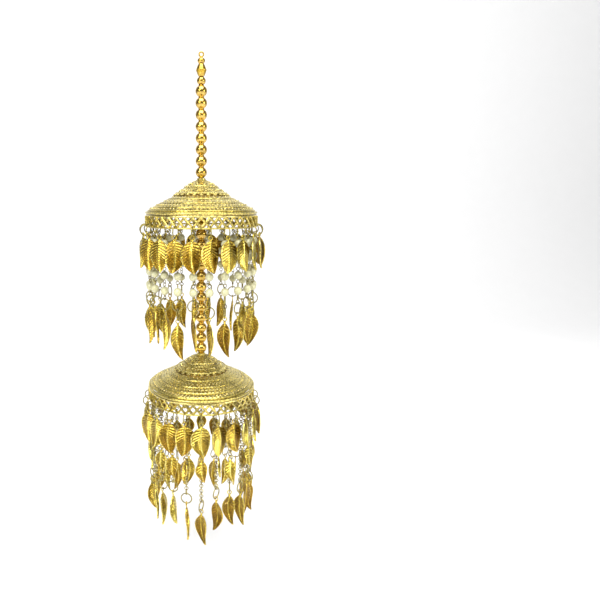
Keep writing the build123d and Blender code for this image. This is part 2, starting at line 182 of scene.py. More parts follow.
class KalireSizes(bpy.types.PropertyGroup):
    """Sizes of the ornament's repeated parts."""

    pearl: FloatProperty(
        name="Pearl", description="Diameter of a pearl", default=0.004, min=0.002, max=0.0044,
        unit="LENGTH", precision=5)
    ring_radius: FloatProperty(
        name="Ring Radius", description="Radius of a jump ring, to the middle of its wire", default=0.0027,
        min=0.0015, max=0.003, unit="LENGTH", precision=5)
    ring_wire: FloatProperty(
        name="Ring Wire", description="Diameter of the jump rings' wire", default=0.0006, min=0.0003,
        max=0.0008, unit="LENGTH", precision=5)
    sheet: FloatProperty(
        name="Leaf Sheet", description="Thickness of the stamped sheet of a leaf", default=0.00045,
        min=0.0002, max=0.0006, unit="LENGTH", precision=5)
    vein: FloatProperty(
        name="Vein Height", description="How far a leaf's side veins stand up", default=0.00038,
        min=0.0, max=0.0005, unit="LENGTH", precision=5)
    grain: FloatProperty(
        name="Grain", description="Diameter of the soldered grains on domes and caps", default=0.0009,
        min=0.0004, max=0.0014, unit="LENGTH", precision=5)
    strut: FloatProperty(
        name="Lattice Strut", description="Width of the lattice's crossed struts", default=0.00115,
        min=0.0003, max=0.0013, unit="LENGTH", precision=5)
    cells: IntProperty(
        name="Lattice Cells", description="Crossings round one lattice band", default=44, min=22, max=88)
    link: FloatProperty(
        name="Chain Link", description="Radius of a fine chain's link, to the middle of its wire",
        default=0.0009, min=0.0005, max=0.0011, unit="LENGTH", precision=5)
    link_wire: FloatProperty(
        name="Chain Wire", description="Diameter of the fine chains' wire", default=0.0005,
        min=0.0002, max=0.0006, unit="LENGTH", precision=5)


class KalireFinishes(bpy.types.PropertyGroup):
    """Colours of the platings and the pearls."""

    leaf: FloatVectorProperty(
        name="Leaf Gold", description="Colour of the stamped leaves", default=(0.98, 0.79, 0.12),
        size=3, min=0.0, max=1.0, subtype="COLOR")
    pale: FloatVectorProperty(
        name="Pale Gold", description="Colour of the domes and caps", default=(0.84, 0.69, 0.18),
        size=3, min=0.0, max=1.0, subtype="COLOR")
    bead: FloatVectorProperty(
        name="Bead Gold", description="Colour of the beads on the stem", default=(0.74, 0.46, 0.035),
        size=3, min=0.0, max=1.0, subtype="COLOR")
    wire: FloatVectorProperty(
        name="Wire Gold", description="Colour of the jump rings and wires", default=(0.38, 0.31, 0.07),
        size=3, min=0.0, max=1.0, subtype="COLOR")
    chain: FloatVectorProperty(
        name="Chain Gold", description="Colour of the fine chains", default=(0.54, 0.45, 0.14),
        size=3, min=0.0, max=1.0, subtype="COLOR")
    pearl: FloatVectorProperty(
        name="Pearl", description="Colour of the pearls", default=(0.64, 0.61, 0.34),
        size=3, min=0.0, max=1.0, subtype="COLOR")
    floor: FloatVectorProperty(
        name="Floor", description="Colour of the floor and backdrop", default=(0.9, 0.9, 0.9),
        size=3, min=0.0, max=1.0, subtype="COLOR")


def settings(scene):
    return scene.kalire_sizes, scene.kalire_finishes


def turn_z(degrees):
    return Matrix.Rotation(radians(degrees), 4, "Z")


def lifted(height, place=Matrix()):
    """A place moved up by a height."""
    return place @ Matrix.Translation((0, 0, height))


def ring_azimuth(tier, number):
    """Azimuth of a tier's jump ring, and of all that hangs on it."""
    return (number + FIRST_RING[tier]) * 360 / RINGS - 180


def hung_at(azimuth, radius, height, turn=0.0):
    """The local frame's place at an azimuth, moved outwards and up and turned about the upright."""
    return turn_z(180 + azimuth) @ Matrix.Translation((0, radius, height)) @ turn_z(turn)


def clamp(value, low=0.0, high=1.0):
    return min(max(value, low), high)


def eased(value, low, high):
    """0 below low, 1 above high, and smooth between."""
    f = clamp((value - low) / (high - low))
    return f * f * (3 - 2 * f)


def outline_arc(a, b, c):
    """The arc through three (radius, height) points, as a function of the share of its length.

    The function gives radius, height and the unit normal that points up and out.
    """
    (ax, ay), (bx, by), (cx, cy) = a, b, c
    d = 2 * (ax * (by - cy) + bx * (cy - ay) + cx * (ay - by))
    sa, sb, sc = ax * ax + ay * ay, bx * bx + by * by, cx * cx + cy * cy
    ux = (sa * (by - cy) + sb * (cy - ay) + sc * (ay - by)) / d
    uy = (sa * (cx - bx) + sb * (ax - cx) + sc * (bx - ax)) / d
    radius = hypot(ax - ux, ay - uy)
    start = atan2(ay - uy, ax - ux)
    sweep = (atan2(cy - uy, cx - ux) - start) % (2 * pi)
    if (atan2(by - uy, bx - ux) - start) % (2 * pi) > sweep:
        sweep -= 2 * pi

    def line(share):
        angle = start + sweep * share
        side = 1.0 if sin(start + sweep / 2) > 0 else -1.0
        return ux + radius * cos(angle), uy + radius * sin(angle), side * cos(angle), side * sin(angle)

    return line


def share_at(line, radius):
    """Where a dome or cap outline reaches a radius."""
    low, high = 0.0, 1.0
    for _ in range(40):
        middle = (low + high) / 2
        if line(middle)[0] < radius:
            low = middle
        else:
            high = middle
    return low


def sampled(line, start, end, count, out=0.0):
    """Points of an outline between two shares, pushed out along the normal."""
    points = []
    for k in range(count):
        r, z, nr, nz = line(start + (end - start) * k / (count - 1))
        points.append((r + nr * out, z + nz * out))
    return points


def facing_out(points, faces):
    """The faces of a closed part, turned over if they look inwards."""
    volume = 0.0
    for face in faces:
        a = Vector(points[face[0]])
        for b, c in zip(face[1:], face[2:]):
            volume += a.dot(Vector(points[b]).cross(Vector(points[c])))
    return faces if volume > 0 else [tuple(reversed(face)) for face in faces]


def part(points, faces, tones=None):
    """A closed part: its points, faces and painted light per point, from 0 painted shade in a groove to 1
    painted highlight.
    """
    return points, facing_out(points, faces), tones or [0.7] * len(points)


def turned(outline, segments, tones=None):
    """A part turned about the upright from (radius, height) points. It is closed through the axis if the
    outline starts and ends there, and otherwise the outline is a loop."""
    solid = outline[0][0] == 0
    sides = outline[1:-1] if solid else outline
    count = len(sides)
    points, faces, shades = [], [], []
    for k in range(segments):
        angle = 2 * pi * k / segments
        points += [(r * sin(angle), -r * cos(angle), z) for r, z in sides]
        shades += (tones[1:-1] if solid else tones) if tones else [0.7] * count
    for k in range(segments):
        here, there = k * count, (k + 1) % segments * count
        for i in range(count - 1 if solid else count):
            j = (i + 1) % count
            faces.append((here + i, there + i, there + j, here + j))
    if solid:
        poles = len(points), len(points) + 1
        points += [(0, 0, outline[0][1]), (0, 0, outline[-1][1])]
        shades += [tones[0], tones[-1]] if tones else [0.7, 0.7]
        for k in range(segments):
            here, there = k * count, (k + 1) % segments * count
            faces.append((poles[0], there, here))
            faces.append((poles[1], here + count - 1, there + count - 1))
    return part(points, faces, shades)


def ring_outline(radius, wire, count, squash=1.0):
    """The outline of a wire ring's section."""
    return [
        (radius + wire * cos(2 * pi * k / count), squash * wire * sin(2 * pi * k / count))
        for k in range(count)]


def hoop(radius, wire, sides, segments):
    """A flat ring of round wire."""
    return turned(ring_outline(radius, wire, sides), segments)


def ball_outline(radius, count):
    """Half a circle from the upper pole to the lower one."""
    middle = [(radius * sin(pi * k / count), radius * cos(pi * k / count)) for k in range(1, count)]
    return [(0, radius)] + middle + [(0, -radius)]


def tube(path, radii, sides=8):
    """A closed tube along a path of points."""
    spots = [Vector(p) for p in path]
    points, faces = [], []
    across = None
    for k, spot in enumerate(spots):
        ahead = (spots[min(k + 1, len(spots) - 1)] - spots[max(k - 1, 0)]).normalized()
        if across is None:
            across = ahead.orthogonal().normalized()
        across = (across - ahead * across.dot(ahead)).normalized()
        up = ahead.cross(across)
        radius = radii[k] if isinstance(radii, (list, tuple)) else radii
        for i in range(sides):
            angle = 2 * pi * i / sides
            points.append(tuple(spot + radius * (cos(angle) * across + sin(angle) * up)))
    for k in range(len(spots) - 1):
        for i in range(sides):
            j = (i + 1) % sides
            a, b = k * sides, (k + 1) * sides
            faces.append((a + i, a + j, b + j, b + i))
    faces.append(tuple(reversed(range(sides))))
    last = (len(spots) - 1) * sides
    faces.append(tuple(last + i for i in range(sides)))
    return part(points, faces)


def drilled_bead(diameter, height, bore, collar=None, steps=18, segments=32):
    """A turned bead with its hole and, where it has them, a plain collar at each end."""
    hole, top = bore / 2, height / 2
    lip = collar or hole + 0.3
    end = top - COLLAR_HEIGHT if collar else top
    side = outline_arc((lip, -end), (diameter / 2, 0), (lip, end))
    bulge = [side(k / steps)[:2] for k in range(steps + 1)]
    outline = bulge + ([(lip - 0.04, top), (hole, top)] if collar else [(hole, top)])
    outline += [(hole, -top)] + ([(lip - 0.04, -top)] if collar else [])
    # Dark in a band round the middle and paler towards both ends; the collar faces and the bore get painted
    # shade.
    middle_band = [0.35 + 0.5 * eased(abs(z), 0.0, 0.35) for _, z in bulge]
    return turned(outline, segments, middle_band + [0.2] * (len(outline) - len(middle_band)))


def pierced(line, start, end, rows, count, hole, wall, lift):
    """A belt of a dome or cap, pierced by staggered rows of holes with raised edges."""
    points, faces, tones, seen = [], [], [], {}
    corners = ((0, 0), (1, 0), (2, 0), (2, 1), (2, 2), (1, 2), (0, 2), (0, 1))
    rim = ((-0.72, -0.72), (0, -1), (0.72, -0.72), (1, 0), (0.72, 0.72), (0, 1), (-0.72, 0.72), (-1, 0))

    def spot(layer, turn, row, out, tone):
        key = (layer, round(turn % (2 * count), 4), round(row, 4))
        if key not in seen:
            r, z, nr, nz = line(start + (end - start) * row / (2 * rows))
            angle = pi * turn / count
            r, z = r + nr * out, z + nz * out
            seen[key] = len(points)
            points.append((r * sin(angle), -r * cos(angle), z))
            tones.append(tone)
        return seen[key]

    for j in range(rows):
        for k in range(count):
            left, top = 2 * k + j % 2, 2 * j
            rings = []
            # The outer face is painted mid, with painted highlights on the raised lips; the inner face and
            # the walls of the holes get painted shade.
            for layer, out, raised, flat, high in ((0, 0.0, lift, 0.42, 1.0), (1, -wall, -wall, 0.1, 0.0)):
                edge = [spot(layer, left + x, top + y, out, flat) for x, y in corners]
                lip = [spot(layer, left + 1 + hole * x, top + 1 + hole * y, raised, high) for x, y in rim]
                rings.append((edge, lip))
            (edge, lip), (inner_edge, inner_lip) = rings
            for a in range(8):
                b = (a + 1) % 8
                faces.append((edge[a], edge[b], lip[b], lip[a]))
                faces.append((inner_lip[a], inner_lip[b], inner_edge[b], inner_edge[a]))
                faces.append((lip[a], lip[b], inner_lip[b], inner_lip[a]))
    for turn in range(2 * count):
        for row, low, high in ((0, turn + 1, turn), (2 * rows, turn, turn + 1)):
            a, b = spot(0, low, row, 0, 0), spot(0, high, row, 0, 0)
            c, d = spot(1, high, row, 0, 0), spot(1, low, row, 0, 0)
            faces.append((a, b, c, d))
    return part(points, faces, tones)


def station(leaf, share):
    """Half width, bend and bulge of a leaf, on smooth lines through its stations."""
    rows, share = leaf["stations"], clamp(share)
    k = next(i for i in range(len(rows) - 1) if share <= rows[i + 1][0])
    a, b = rows[k], rows[k + 1]
    before, after = rows[max(k - 1, 0)], rows[min(k + 2, len(rows) - 1)]
    span = b[0] - a[0]
    f = (share - a[0]) / span
    values = []
    for i in (1, 2, 3):
        leave = (b[i] - before[i]) / (b[0] - before[0]) * span
        arrive = (after[i] - a[i]) / (after[0] - a[0]) * span
        values.append(
            (2 * f ** 3 - 3 * f ** 2 + 1) * a[i] + (f ** 3 - 2 * f ** 2 + f) * leave
            + (3 * f ** 2 - 2 * f ** 3) * b[i] + (f ** 3 - f ** 2) * arrive)
    return values


def leaf_parts(leaf, sizes, draw):
    """A stamped leaf: the embossed blade, its stalk and the loop that it hangs by."""
    outer, hole, thick = LEAF_LOOP
    sheet, rise = sizes.sheet / MM, sizes.vein / MM
    start = -outer - leaf["stalk"] + 0.4
    twist, curl = draw.uniform(-7, 7), draw.uniform(0.8, 1.1)
    columns = [-u for u in reversed(BLADE_COLUMNS)] + [0.0] + list(BLADE_COLUMNS)
    rows = leaf["veins"] * ROWS_PER_VEIN
    front, back, tones = [], [], []
    for i in range(rows + 1):
        v = i / rows
        ridge = max(0.0, cos(2 * pi * (leaf["veins"] * v + 0.5))) ** 2
        for u in columns:
            share = v + VEIN_SLANT * sin(pi * v) * abs(u)
            half, bend, bulge = station(leaf, share)
            inside = eased(abs(u), 0.06, 0.16) * (1 - eased(abs(u), 0.84, 0.95)) * sin(pi * v) ** 0.3
            rib = exp(-(u * half / 0.34) ** 2)
            border = eased(abs(u), 0.86, 0.95)
            raised = rise * ridge * inside + 0.30 * rib + 0.20 * border * clamp(half)
            reach = u * half * (1 + 0.02 * ridge * border)
            x, y = bend + reach, bulge * curl - leaf["fold"] * half * abs(u) ** 1.3
            angle = radians(twist) * share
            x, y = x * cos(angle) - y * sin(angle), x * sin(angle) + y * cos(angle)
            z = start - share * leaf["length"]
            front.append((x, y + raised + sheet / 2, z))
            back.append((x, y + raised - sheet / 2, z))
            # Painted light: the veins' ridges, the midrib and the border get painted highlights, and the
            # valleys between the veins painted shade.
            tones.append(clamp(0.16 + 0.84 * max(ridge * inside, rib, border * 0.9)))
    width, count = len(columns), len(front)
    faces = []
    for i in range(rows):
        for j in range(width - 1):
            a = i * width + j
            quad = (a, a + 1, a + 1 + width, a + width)
            faces += [quad, tuple(count + p for p in reversed(quad))]
    edge = list(range(width)) + [i * width + width - 1 for i in range(1, rows + 1)]
    edge += [rows * width + j for j in range(width - 2, -1, -1)]
    edge += [i * width for i in range(rows - 1, 0, -1)]
    for a, b in zip(edge, edge[1:] + edge[:1]):
        faces.append((b, a, count + a, count + b))
    # The back face gets half the front's painted light, as painted shade.
    blade = part(front + back, faces, tones + [0.5 * tone for tone in tones])
    loop_section = ring_outline((outer + hole) / 2, (outer - hole) / 2, 8, thick / (outer - hole))
    loop = turned(loop_section, 20)
    stalk_path = [(0, 0, -outer + 0.2), (0, 0.02, (start - outer) / 2), (0, 0.05, start - 0.9)]
    stalk = tube(stalk_path, [0.42, 0.5, 0.34], 10)
    return blade, loop, stalk


class Shape:
    """Parts put together in one mesh."""

    def __init__(self):
        self.points, self.faces, self.tones, self.tints = [], [], [], []

    def add(self, made, place=Matrix(), tint=0.0):
        """Put in a part at a place. tint is how warm its plating is."""
        points, faces, tones = made
        first = len(self.points)
        self.points += [tuple(place @ Vector(p)) for p in points]
        flip = place.determinant() < 0
        for face in faces:
            self.faces.append(tuple(first + p for p in (reversed(face) if flip else face)))
        self.tones += tones
        self.tints += [tint] * len(points)
        return self

    def mesh(self, name):
        made = bpy.data.meshes.new(name)
        made.from_pydata([[c * MM for c in p] for p in self.points], [], self.faces)
        made.attributes.new("tone", "FLOAT", "POINT").data.foreach_set("value", self.tones)
        made.attributes.new("tint", "FLOAT", "POINT").data.foreach_set("value", self.tints)
        made.validate()
        made.update()
        return made


def put_leaf(shape, leaf, place, hand, sizes, draw):
    """Hang a leaf at a place, its tip bent to one hand."""
    blade, loop, stalk = leaf_parts(leaf, sizes, draw)
    mirror = Matrix.Diagonal((hand, 1, 1, 1))
    tint = draw.uniform(0.0, 0.65)
    shape.add(blade, place @ mirror, tint)
    shape.add(loop, place @ Matrix.Rotation(pi / 2, 4, "X"), tint)
    shape.add(stalk, place @ Matrix.Diagonal((1.2, 0.6, 1, 1)), tint)


def dress(name, mesh, material, nodes, sharp=50.0):
    """Make a mesh the finished piece that stands for some CAD nodes."""
    mesh.materials.clear()
    mesh.materials.append(material)
    mesh.shade_smooth()
    mesh.set_sharp_from_angle(angle=radians(sharp))
    piece = bpy.data.objects.new(name, mesh)
    bpy.context.scene.collection.objects.link(piece)
    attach(piece, "root")
    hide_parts(*nodes)
    return piece


class Tree:
    """A node tree being written: node() adds a node and fills its sockets by name."""

    def __init__(self, name, kind, inputs, outputs):
        self.group = bpy.data.node_groups.new(name, kind)
        for label, socket, value in inputs:
            made = self.group.interface.new_socket(label, in_out="INPUT", socket_type=socket)
            if value is not None:
                made.default_value = value
        for label, socket in outputs:
            self.group.interface.new_socket(label, in_out="OUTPUT", socket_type=socket)
        self.inputs = self.group.nodes.new("NodeGroupInput").outputs
        self.end = self.group.nodes.new("NodeGroupOutput")

    def node(self, kind, settings=None, **sockets):
        made = self.group.nodes.new(kind)
        for key, value in (settings or {}).items():
            setattr(made, key, value)
        for label, value in sockets.items():
            self.fill(made, label.replace("_", " "), value)
        return made

    def fill(self, made, label, value):
        """Link or set one input, the nth of a name given as name:n."""
        title, _, number = label.partition(":")
        found = [s for s in made.inputs if s.name == title and s.enabled]
        target = found[int(number or 0)]
        if isinstance(value, bpy.types.NodeSocket):
            self.group.links.new(value, target)
        else:
            target.default_value = value

    def math(self, operation, a, b=0.0):
        made = self.node("ShaderNodeMath", {"operation": operation})
        self.fill(made, "Value:0", a)
        if len([s for s in made.inputs if s.enabled]) > 1:
            self.fill(made, "Value:1", b)
        return made.outputs[0]

    def times(self, a, b):
        return self.math("MULTIPLY", a, b)

    def plus(self, a, b):
        return self.math("ADD", a, b)

    def mix(self, factor, first, second, blend="MIX"):
        made = self.node("ShaderNodeMix", {"data_type": "RGBA", "blend_type": blend})
        for socket, value in zip((made.inputs[0], made.inputs[6], made.inputs[7]), (factor, first, second)):
            if isinstance(value, bpy.types.NodeSocket):
                self.group.links.new(value, socket)
            else:
                socket.default_value = value
        return made.outputs[2]

    def circle(self, resolution, radius):
        return self.node(
            "GeometryNodeCurvePrimitiveCircle", {"mode": "RADIUS"}, Resolution=resolution,
            Radius=radius).outputs[0]

    def wire(self, resolution, diameter):
        """The round section of a wire."""
        return self.circle(resolution, self.times(diameter, 0.5))

    def swept(self, curve, section, **more):
        return self.node("GeometryNodeCurveToMesh", Curve=curve, Profile_Curve=section, **more).outputs[0]

    def placed(self, points, part, **more):
        """Copies of a part on points."""
        return self.node("GeometryNodeInstanceOnPoints", Points=points, Instance=part, **more).outputs[0]

    def finish(self, **outputs):
        for label, value in outputs.items():
            self.group.links.new(value, self.end.inputs[label.replace("_", " ")])
        return self.group


def grown(tree, source, **values):
    """The plain mesh that a node tree makes from a source mesh."""
    holder = bpy.data.objects.new("source", source)
    bpy.context.scene.collection.objects.link(holder)
    modifier = holder.modifiers.new("Nodes", "NODES")
    modifier.node_group = tree
    for item in tree.interface.items_tree:
        if item.in_out == "INPUT" and item.name.replace(" ", "_") in values:
            modifier[item.identifier] = values[item.name.replace(" ", "_")]
    depsgraph = bpy.context.evaluated_depsgraph_get()
    mesh = bpy.data.meshes.new_from_object(holder.evaluated_get(depsgraph))
    bpy.data.objects.remove(holder)
    return mesh


def spots_mesh(spots):
    """Bare points for a node tree: place in millimetres, facing as three angles, and size."""
    mesh = bpy.data.meshes.new("spots")
    mesh.from_pydata([[c * MM for c in place] for place, _, _ in spots], [], [])
    facing = mesh.attributes.new("facing", "FLOAT_VECTOR", "POINT")
    facing.data.foreach_set("vector", [radians(a) for _, angles, _ in spots for a in angles])
    size = mesh.attributes.new("size", "FLOAT", "POINT")
    size.data.foreach_set("value", [size for _, _, size in spots])
    return mesh


def facing_sockets(tree):
    """The rotation and the scale that a tree reads from its points."""
    vector = tree.node("GeometryNodeInputNamedAttribute", {"data_type": "FLOAT_VECTOR"}, Name="facing")
    turn = tree.node("FunctionNodeEulerToRotation", Euler=vector.outputs["Attribute"])
    size = tree.node("GeometryNodeInputNamedAttribute", {"data_type": "FLOAT"}, Name="size")
    return turn.outputs[0], size.outputs["Attribute"]


def close_tree(tree, instances, tone=None):
    """End a tree with its instances made real and given their material, and one painted light level if they
    have none.
    """
    made = tree.node("GeometryNodeRealizeInstances", Geometry=instances)
    if tone is not None:
        made = tree.node(
            "GeometryNodeStoreNamedAttribute", {"data_type": "FLOAT", "domain": "POINT"},
            Geometry=made.outputs[0], Name="tone", Value=tone)
    painted = tree.node(
        "GeometryNodeSetMaterial", Geometry=made.outputs[0], Material=tree.inputs["Material"])
    return tree.finish(Geometry=painted.outputs[0])


def wire_rings_tree():
    """Cut wire rings on points: an almost closed turn of round wire on each."""
    tree = Tree("Wire Rings", "GeometryNodeTree", (
        ("Geometry", "NodeSocketGeometry", None), ("Ring Radius", "NodeSocketFloat", 0.0027),
        ("Wire", "NodeSocketFloat", 0.0006), ("Sweep", "NodeSocketFloat", 357.0),
        ("Around", "NodeSocketInt", 40), ("Across", "NodeSocketInt", 10),
        ("Material", "NodeSocketMaterial", None)), (("Geometry", "NodeSocketGeometry"),))
    sweep = tree.math("RADIANS", tree.inputs["Sweep"])
    arc = tree.node(
        "GeometryNodeCurveArc", {"mode": "RADIUS"}, Resolution=tree.inputs["Around"],
        Radius=tree.inputs["Ring Radius"], Sweep_Angle=sweep)
    section = tree.wire(tree.inputs["Across"], tree.inputs["Wire"])
    ring = tree.swept(arc.outputs[0], section, Fill_Caps=True)
    turn, size = facing_sockets(tree)
    rings = tree.placed(tree.inputs["Geometry"], ring, Rotation=turn, Scale=size)
    return close_tree(tree, rings, RING_TONE)


def copies_tree():
    """Copies of one part on points."""
    tree = Tree("Copies On Points", "GeometryNodeTree", (
        ("Geometry", "NodeSocketGeometry", None), ("Part", "NodeSocketObject", None),
        ("Material", "NodeSocketMaterial", None)), (("Geometry", "NodeSocketGeometry"),))
    source = tree.node("GeometryNodeObjectInfo", Object=tree.inputs["Part"])
    turn, size = facing_sockets(tree)
    copies = tree.placed(tree.inputs["Geometry"], source.outputs["Geometry"], Rotation=turn, Scale=size)
    return close_tree(tree, copies)


def lattice_tree():
    """The crossed struts round a band: one pair, bent to the band's curve, repeated all the way round."""
    tree = Tree("Lattice Band", "GeometryNodeTree", (
        ("Geometry", "NodeSocketGeometry", None), ("Radius", "NodeSocketFloat", 0.0277),
        ("High", "NodeSocketFloat", 0.0), ("Low", "NodeSocketFloat", -0.005),
        ("Cells", "NodeSocketInt", 36), ("Strut", "NodeSocketFloat", 0.0006),
        ("Material", "NodeSocketMaterial", None)), (("Geometry", "NodeSocketGeometry"),))
    step = tree.math("DIVIDE", 2 * pi, tree.inputs["Cells"])
    section = tree.wire(6, tree.inputs["Strut"])
    pair = tree.node("GeometryNodeJoinGeometry")
    for hand, layer in ((1.0, 0.3), (-1.0, -0.3)):
        line = tree.node("GeometryNodeCurvePrimitiveLine", Start=(0, 0, 0), End=(0, 0, 1))
        fine = tree.node("GeometryNodeResampleCurve", Curve=line.outputs[0], Count=7)
        along = tree.node("GeometryNodeSplineParameter").outputs["Factor"]
        angle = tree.times(tree.times(along, hand), step)
        angle = tree.plus(angle, tree.times(step, 0.0 if hand > 0 else 1.0))
        out = tree.plus(tree.inputs["Radius"], tree.times(tree.inputs["Strut"], layer))
        drop = tree.math("SUBTRACT", tree.inputs["Low"], tree.inputs["High"])
        place = tree.node(
            "ShaderNodeCombineXYZ", X=tree.times(out, tree.math("SINE", angle)),
            Y=tree.times(out, tree.times(tree.math("COSINE", angle), -1.0)),
            Z=tree.plus(tree.inputs["High"], tree.times(along, drop)))
        bent = tree.node("GeometryNodeSetPosition", Geometry=fine.outputs[0], Position=place.outputs[0])
        strut = tree.swept(bent.outputs[0], section, Fill_Caps=True)
        tree.group.links.new(strut, pair.inputs[0])
    spots = tree.node("GeometryNodeMeshLine", Count=tree.inputs["Cells"], Offset=(0, 0, 0))
    index = tree.node("GeometryNodeInputIndex").outputs[0]
    euler = tree.node("ShaderNodeCombineXYZ", Z=tree.times(index, step))
    turn = tree.node("FunctionNodeEulerToRotation", Euler=euler.outputs[0])
    struts = tree.placed(spots.outputs[0], pair.outputs[0], Rotation=turn.outputs[0])
    return close_tree(tree, struts, STRUT_TONE)


def chain_tree():
    """Links along lines, each turned a quarter from the one above it."""
    tree = Tree("Fine Chain", "GeometryNodeTree", (
        ("Geometry", "NodeSocketGeometry", None), ("Link Radius", "NodeSocketFloat", 0.0008),
        ("Wire", "NodeSocketFloat", 0.0003), ("Seed", "NodeSocketInt", 4),
        ("Material", "NodeSocketMaterial", None)), (("Geometry", "NodeSocketGeometry"),))
    inner = tree.math("SUBTRACT", tree.inputs["Link Radius"], tree.times(tree.inputs["Wire"], 0.5))
    pitch = tree.times(inner, 2.1)
    line = tree.node("GeometryNodeMeshToCurve", Mesh=tree.inputs["Geometry"])
    fine = tree.node(
        "GeometryNodeResampleCurve", {"mode": "LENGTH"}, Curve=line.outputs[0], Length=pitch)
    circle = tree.circle(10, tree.inputs["Link Radius"])
    link = tree.swept(circle, tree.wire(5, tree.inputs["Wire"]))
    index = tree.node("GeometryNodeInputIndex").outputs[0]
    wobble = tree.node(
        "FunctionNodeRandomValue", {"data_type": "FLOAT"}, Min=-0.35, Max=0.35, Seed=tree.inputs["Seed"])
    quarter = tree.times(tree.math("MODULO", index, 2.0), pi / 2)
    around = tree.plus(quarter, wobble.outputs[1])
    euler = tree.node("ShaderNodeCombineXYZ", X=pi / 2, Z=around)
    turn = tree.node("FunctionNodeEulerToRotation", Euler=euler.outputs[0])
    links = tree.placed(fine.outputs[0], link, Rotation=turn.outputs[0])
    return close_tree(tree, links, LINK_TONE)


def built_tree(name, build):
    """A node group, written the first time that it is asked for."""
    return bpy.data.node_groups.get(name) or build()


def rings_on(spots, radius, wire, material, around=36, across=8, sweep=357.0):
    return grown(
        built_tree("Wire Rings", wire_rings_tree), spots_mesh(spots), Ring_Radius=radius * MM,
        Wire=wire * MM, Sweep=sweep, Around=around, Across=across, Material=material)


def copies_on(spots, made, material):
    """Copies of a part on points, as one mesh."""
    holder = bpy.data.objects.new("part", Shape().add(made).mesh("part"))
    bpy.context.scene.collection.objects.link(holder)
    mesh = grown(
        built_tree("Copies On Points", copies_tree), spots_mesh(spots), Part=holder, Material=material)
    bpy.data.objects.remove(holder)
    return mesh


def circle_spots(radius, height, count, tilt=0.0, size=1.0, first=0.5):
    """Points round a circle. tilt leans each copy outwards from the upright, in degrees."""
    spots = []
    for k in range(count):
        azimuth = (k + first) * 360 / count
        place = hung_at(azimuth, radius, height)
        spots.append((tuple(place.translation), (-tilt, 0, 180 + azimuth), size))
    return spots


def plated_tone_group():
    """Plating colour and roughness: painted shade in grooves, painted highlights on ridges, a fine net of
    painted sparkle, and soft uneven patches.
    """
    tree = Tree("Plated Tone", "ShaderNodeTree", (
        ("Tone", "NodeSocketFloat", 0.7), ("Tint", "NodeSocketFloat", 0.0),
        ("Metal", "NodeSocketColor", (0.9, 0.6, 0.1, 1)),
        ("Groove", "NodeSocketColor", (0.3, 0.15, 0.02, 1)),
        ("Bright", "NodeSocketColor", (1.0, 0.85, 0.4, 1)), ("Patch Scale", "NodeSocketFloat", 300.0),
        ("Grit", "NodeSocketFloat", 0.3), ("Roughness", "NodeSocketFloat", 0.3)),
        (("Color", "NodeSocketColor"), ("Roughness", "NodeSocketFloat")))
    place = tree.node("ShaderNodeTexCoord").outputs["Object"]
    patch = tree.node(
        "ShaderNodeTexNoise", Vector=place, Scale=tree.inputs["Patch Scale"], Detail=3.0, Roughness=0.6)
    deep = tree.node(
        "ShaderNodeMapRange", {"interpolation_type": "SMOOTHSTEP"}, Value=tree.inputs["Tone"],
        From_Min=0.05, From_Max=0.6)
    body = tree.mix(deep.outputs[0], tree.inputs["Groove"], tree.inputs["Metal"])
    high = tree.node(
        "ShaderNodeMapRange", {"interpolation_type": "SMOOTHSTEP"}, Value=tree.inputs["Tone"],
        From_Min=0.7, From_Max=1.0, To_Max=0.7)
    lit = tree.mix(high.outputs[0], body, tree.inputs["Bright"])
    warm = tree.mix(tree.inputs["Tint"], lit, (0.86, 0.68, 0.3, 1), "MULTIPLY")
    shade = tree.node(
        "ShaderNodeMapRange", Value=patch.outputs["Fac"], From_Min=0.3, From_Max=0.7, To_Min=0.78,
        To_Max=1.1)
    # Painted sparkle: a fine net of deeper lines between slightly paler cells stands in for glints.
    net = tree.node(
        "ShaderNodeTexVoronoi", {"feature": "DISTANCE_TO_EDGE"}, Vector=place,
        Scale=tree.times(tree.inputs["Patch Scale"], 3.5))
    sparkle = tree.node(
        "ShaderNodeMapRange", Value=net.outputs["Distance"], From_Min=0.02, From_Max=0.22,
        To_Min=tree.math("SUBTRACT", 1.0, tree.inputs["Grit"]), To_Max=1.08)
    final = tree.node("ShaderNodeVectorMath", {"operation": "SCALE"})
    tree.group.links.new(warm, final.inputs[0])
    tree.group.links.new(tree.times(shade.outputs[0], sparkle.outputs[0]), final.inputs["Scale"])
    lower = tree.times(tree.math("SUBTRACT", 1.0, tree.inputs["Tone"]), 0.15)
    uneven = tree.times(tree.math("SUBTRACT", patch.outputs["Fac"], 0.5), 0.25)
    rough = tree.plus(tree.inputs["Roughness"], tree.plus(lower, uneven))
    return tree.finish(Color=final.outputs[0], Roughness=rough)


def hammered_group():
    """Height of a finely uneven metal surface: soft dents with a crisp grain on top."""
    tree = Tree("Hammered Height", "ShaderNodeTree", (
        ("Dent Scale", "NodeSocketFloat", 700.0), ("Grain Scale", "NodeSocketFloat", 2500.0),
        ("Grain", "NodeSocketFloat", 0.3)), (("Height", "NodeSocketFloat"),))
    place = tree.node("ShaderNodeTexCoord").outputs["Object"]
    dents = tree.node(
        "ShaderNodeTexVoronoi", {"feature": "SMOOTH_F1"}, Vector=place, Scale=tree.inputs["Dent Scale"])
    grain = tree.node(
        "ShaderNodeTexNoise", Vector=place, Scale=tree.inputs["Grain Scale"], Detail=2.0)
    height = tree.math(
        "ADD", dents.outputs["Distance"], tree.times(grain.outputs["Fac"], tree.inputs["Grain"]))
    return tree.finish(Height=height)


def shade_colour(colour, amount):
    """The painted shade colour for grooves and holes: a deeper, warmer version of a plating colour."""
    return (colour[0] * amount, colour[1] * amount * 0.75, colour[2] * amount * 0.5)


def paler(colour, amount):
    return tuple(c + (1 - c) * amount for c in colour)


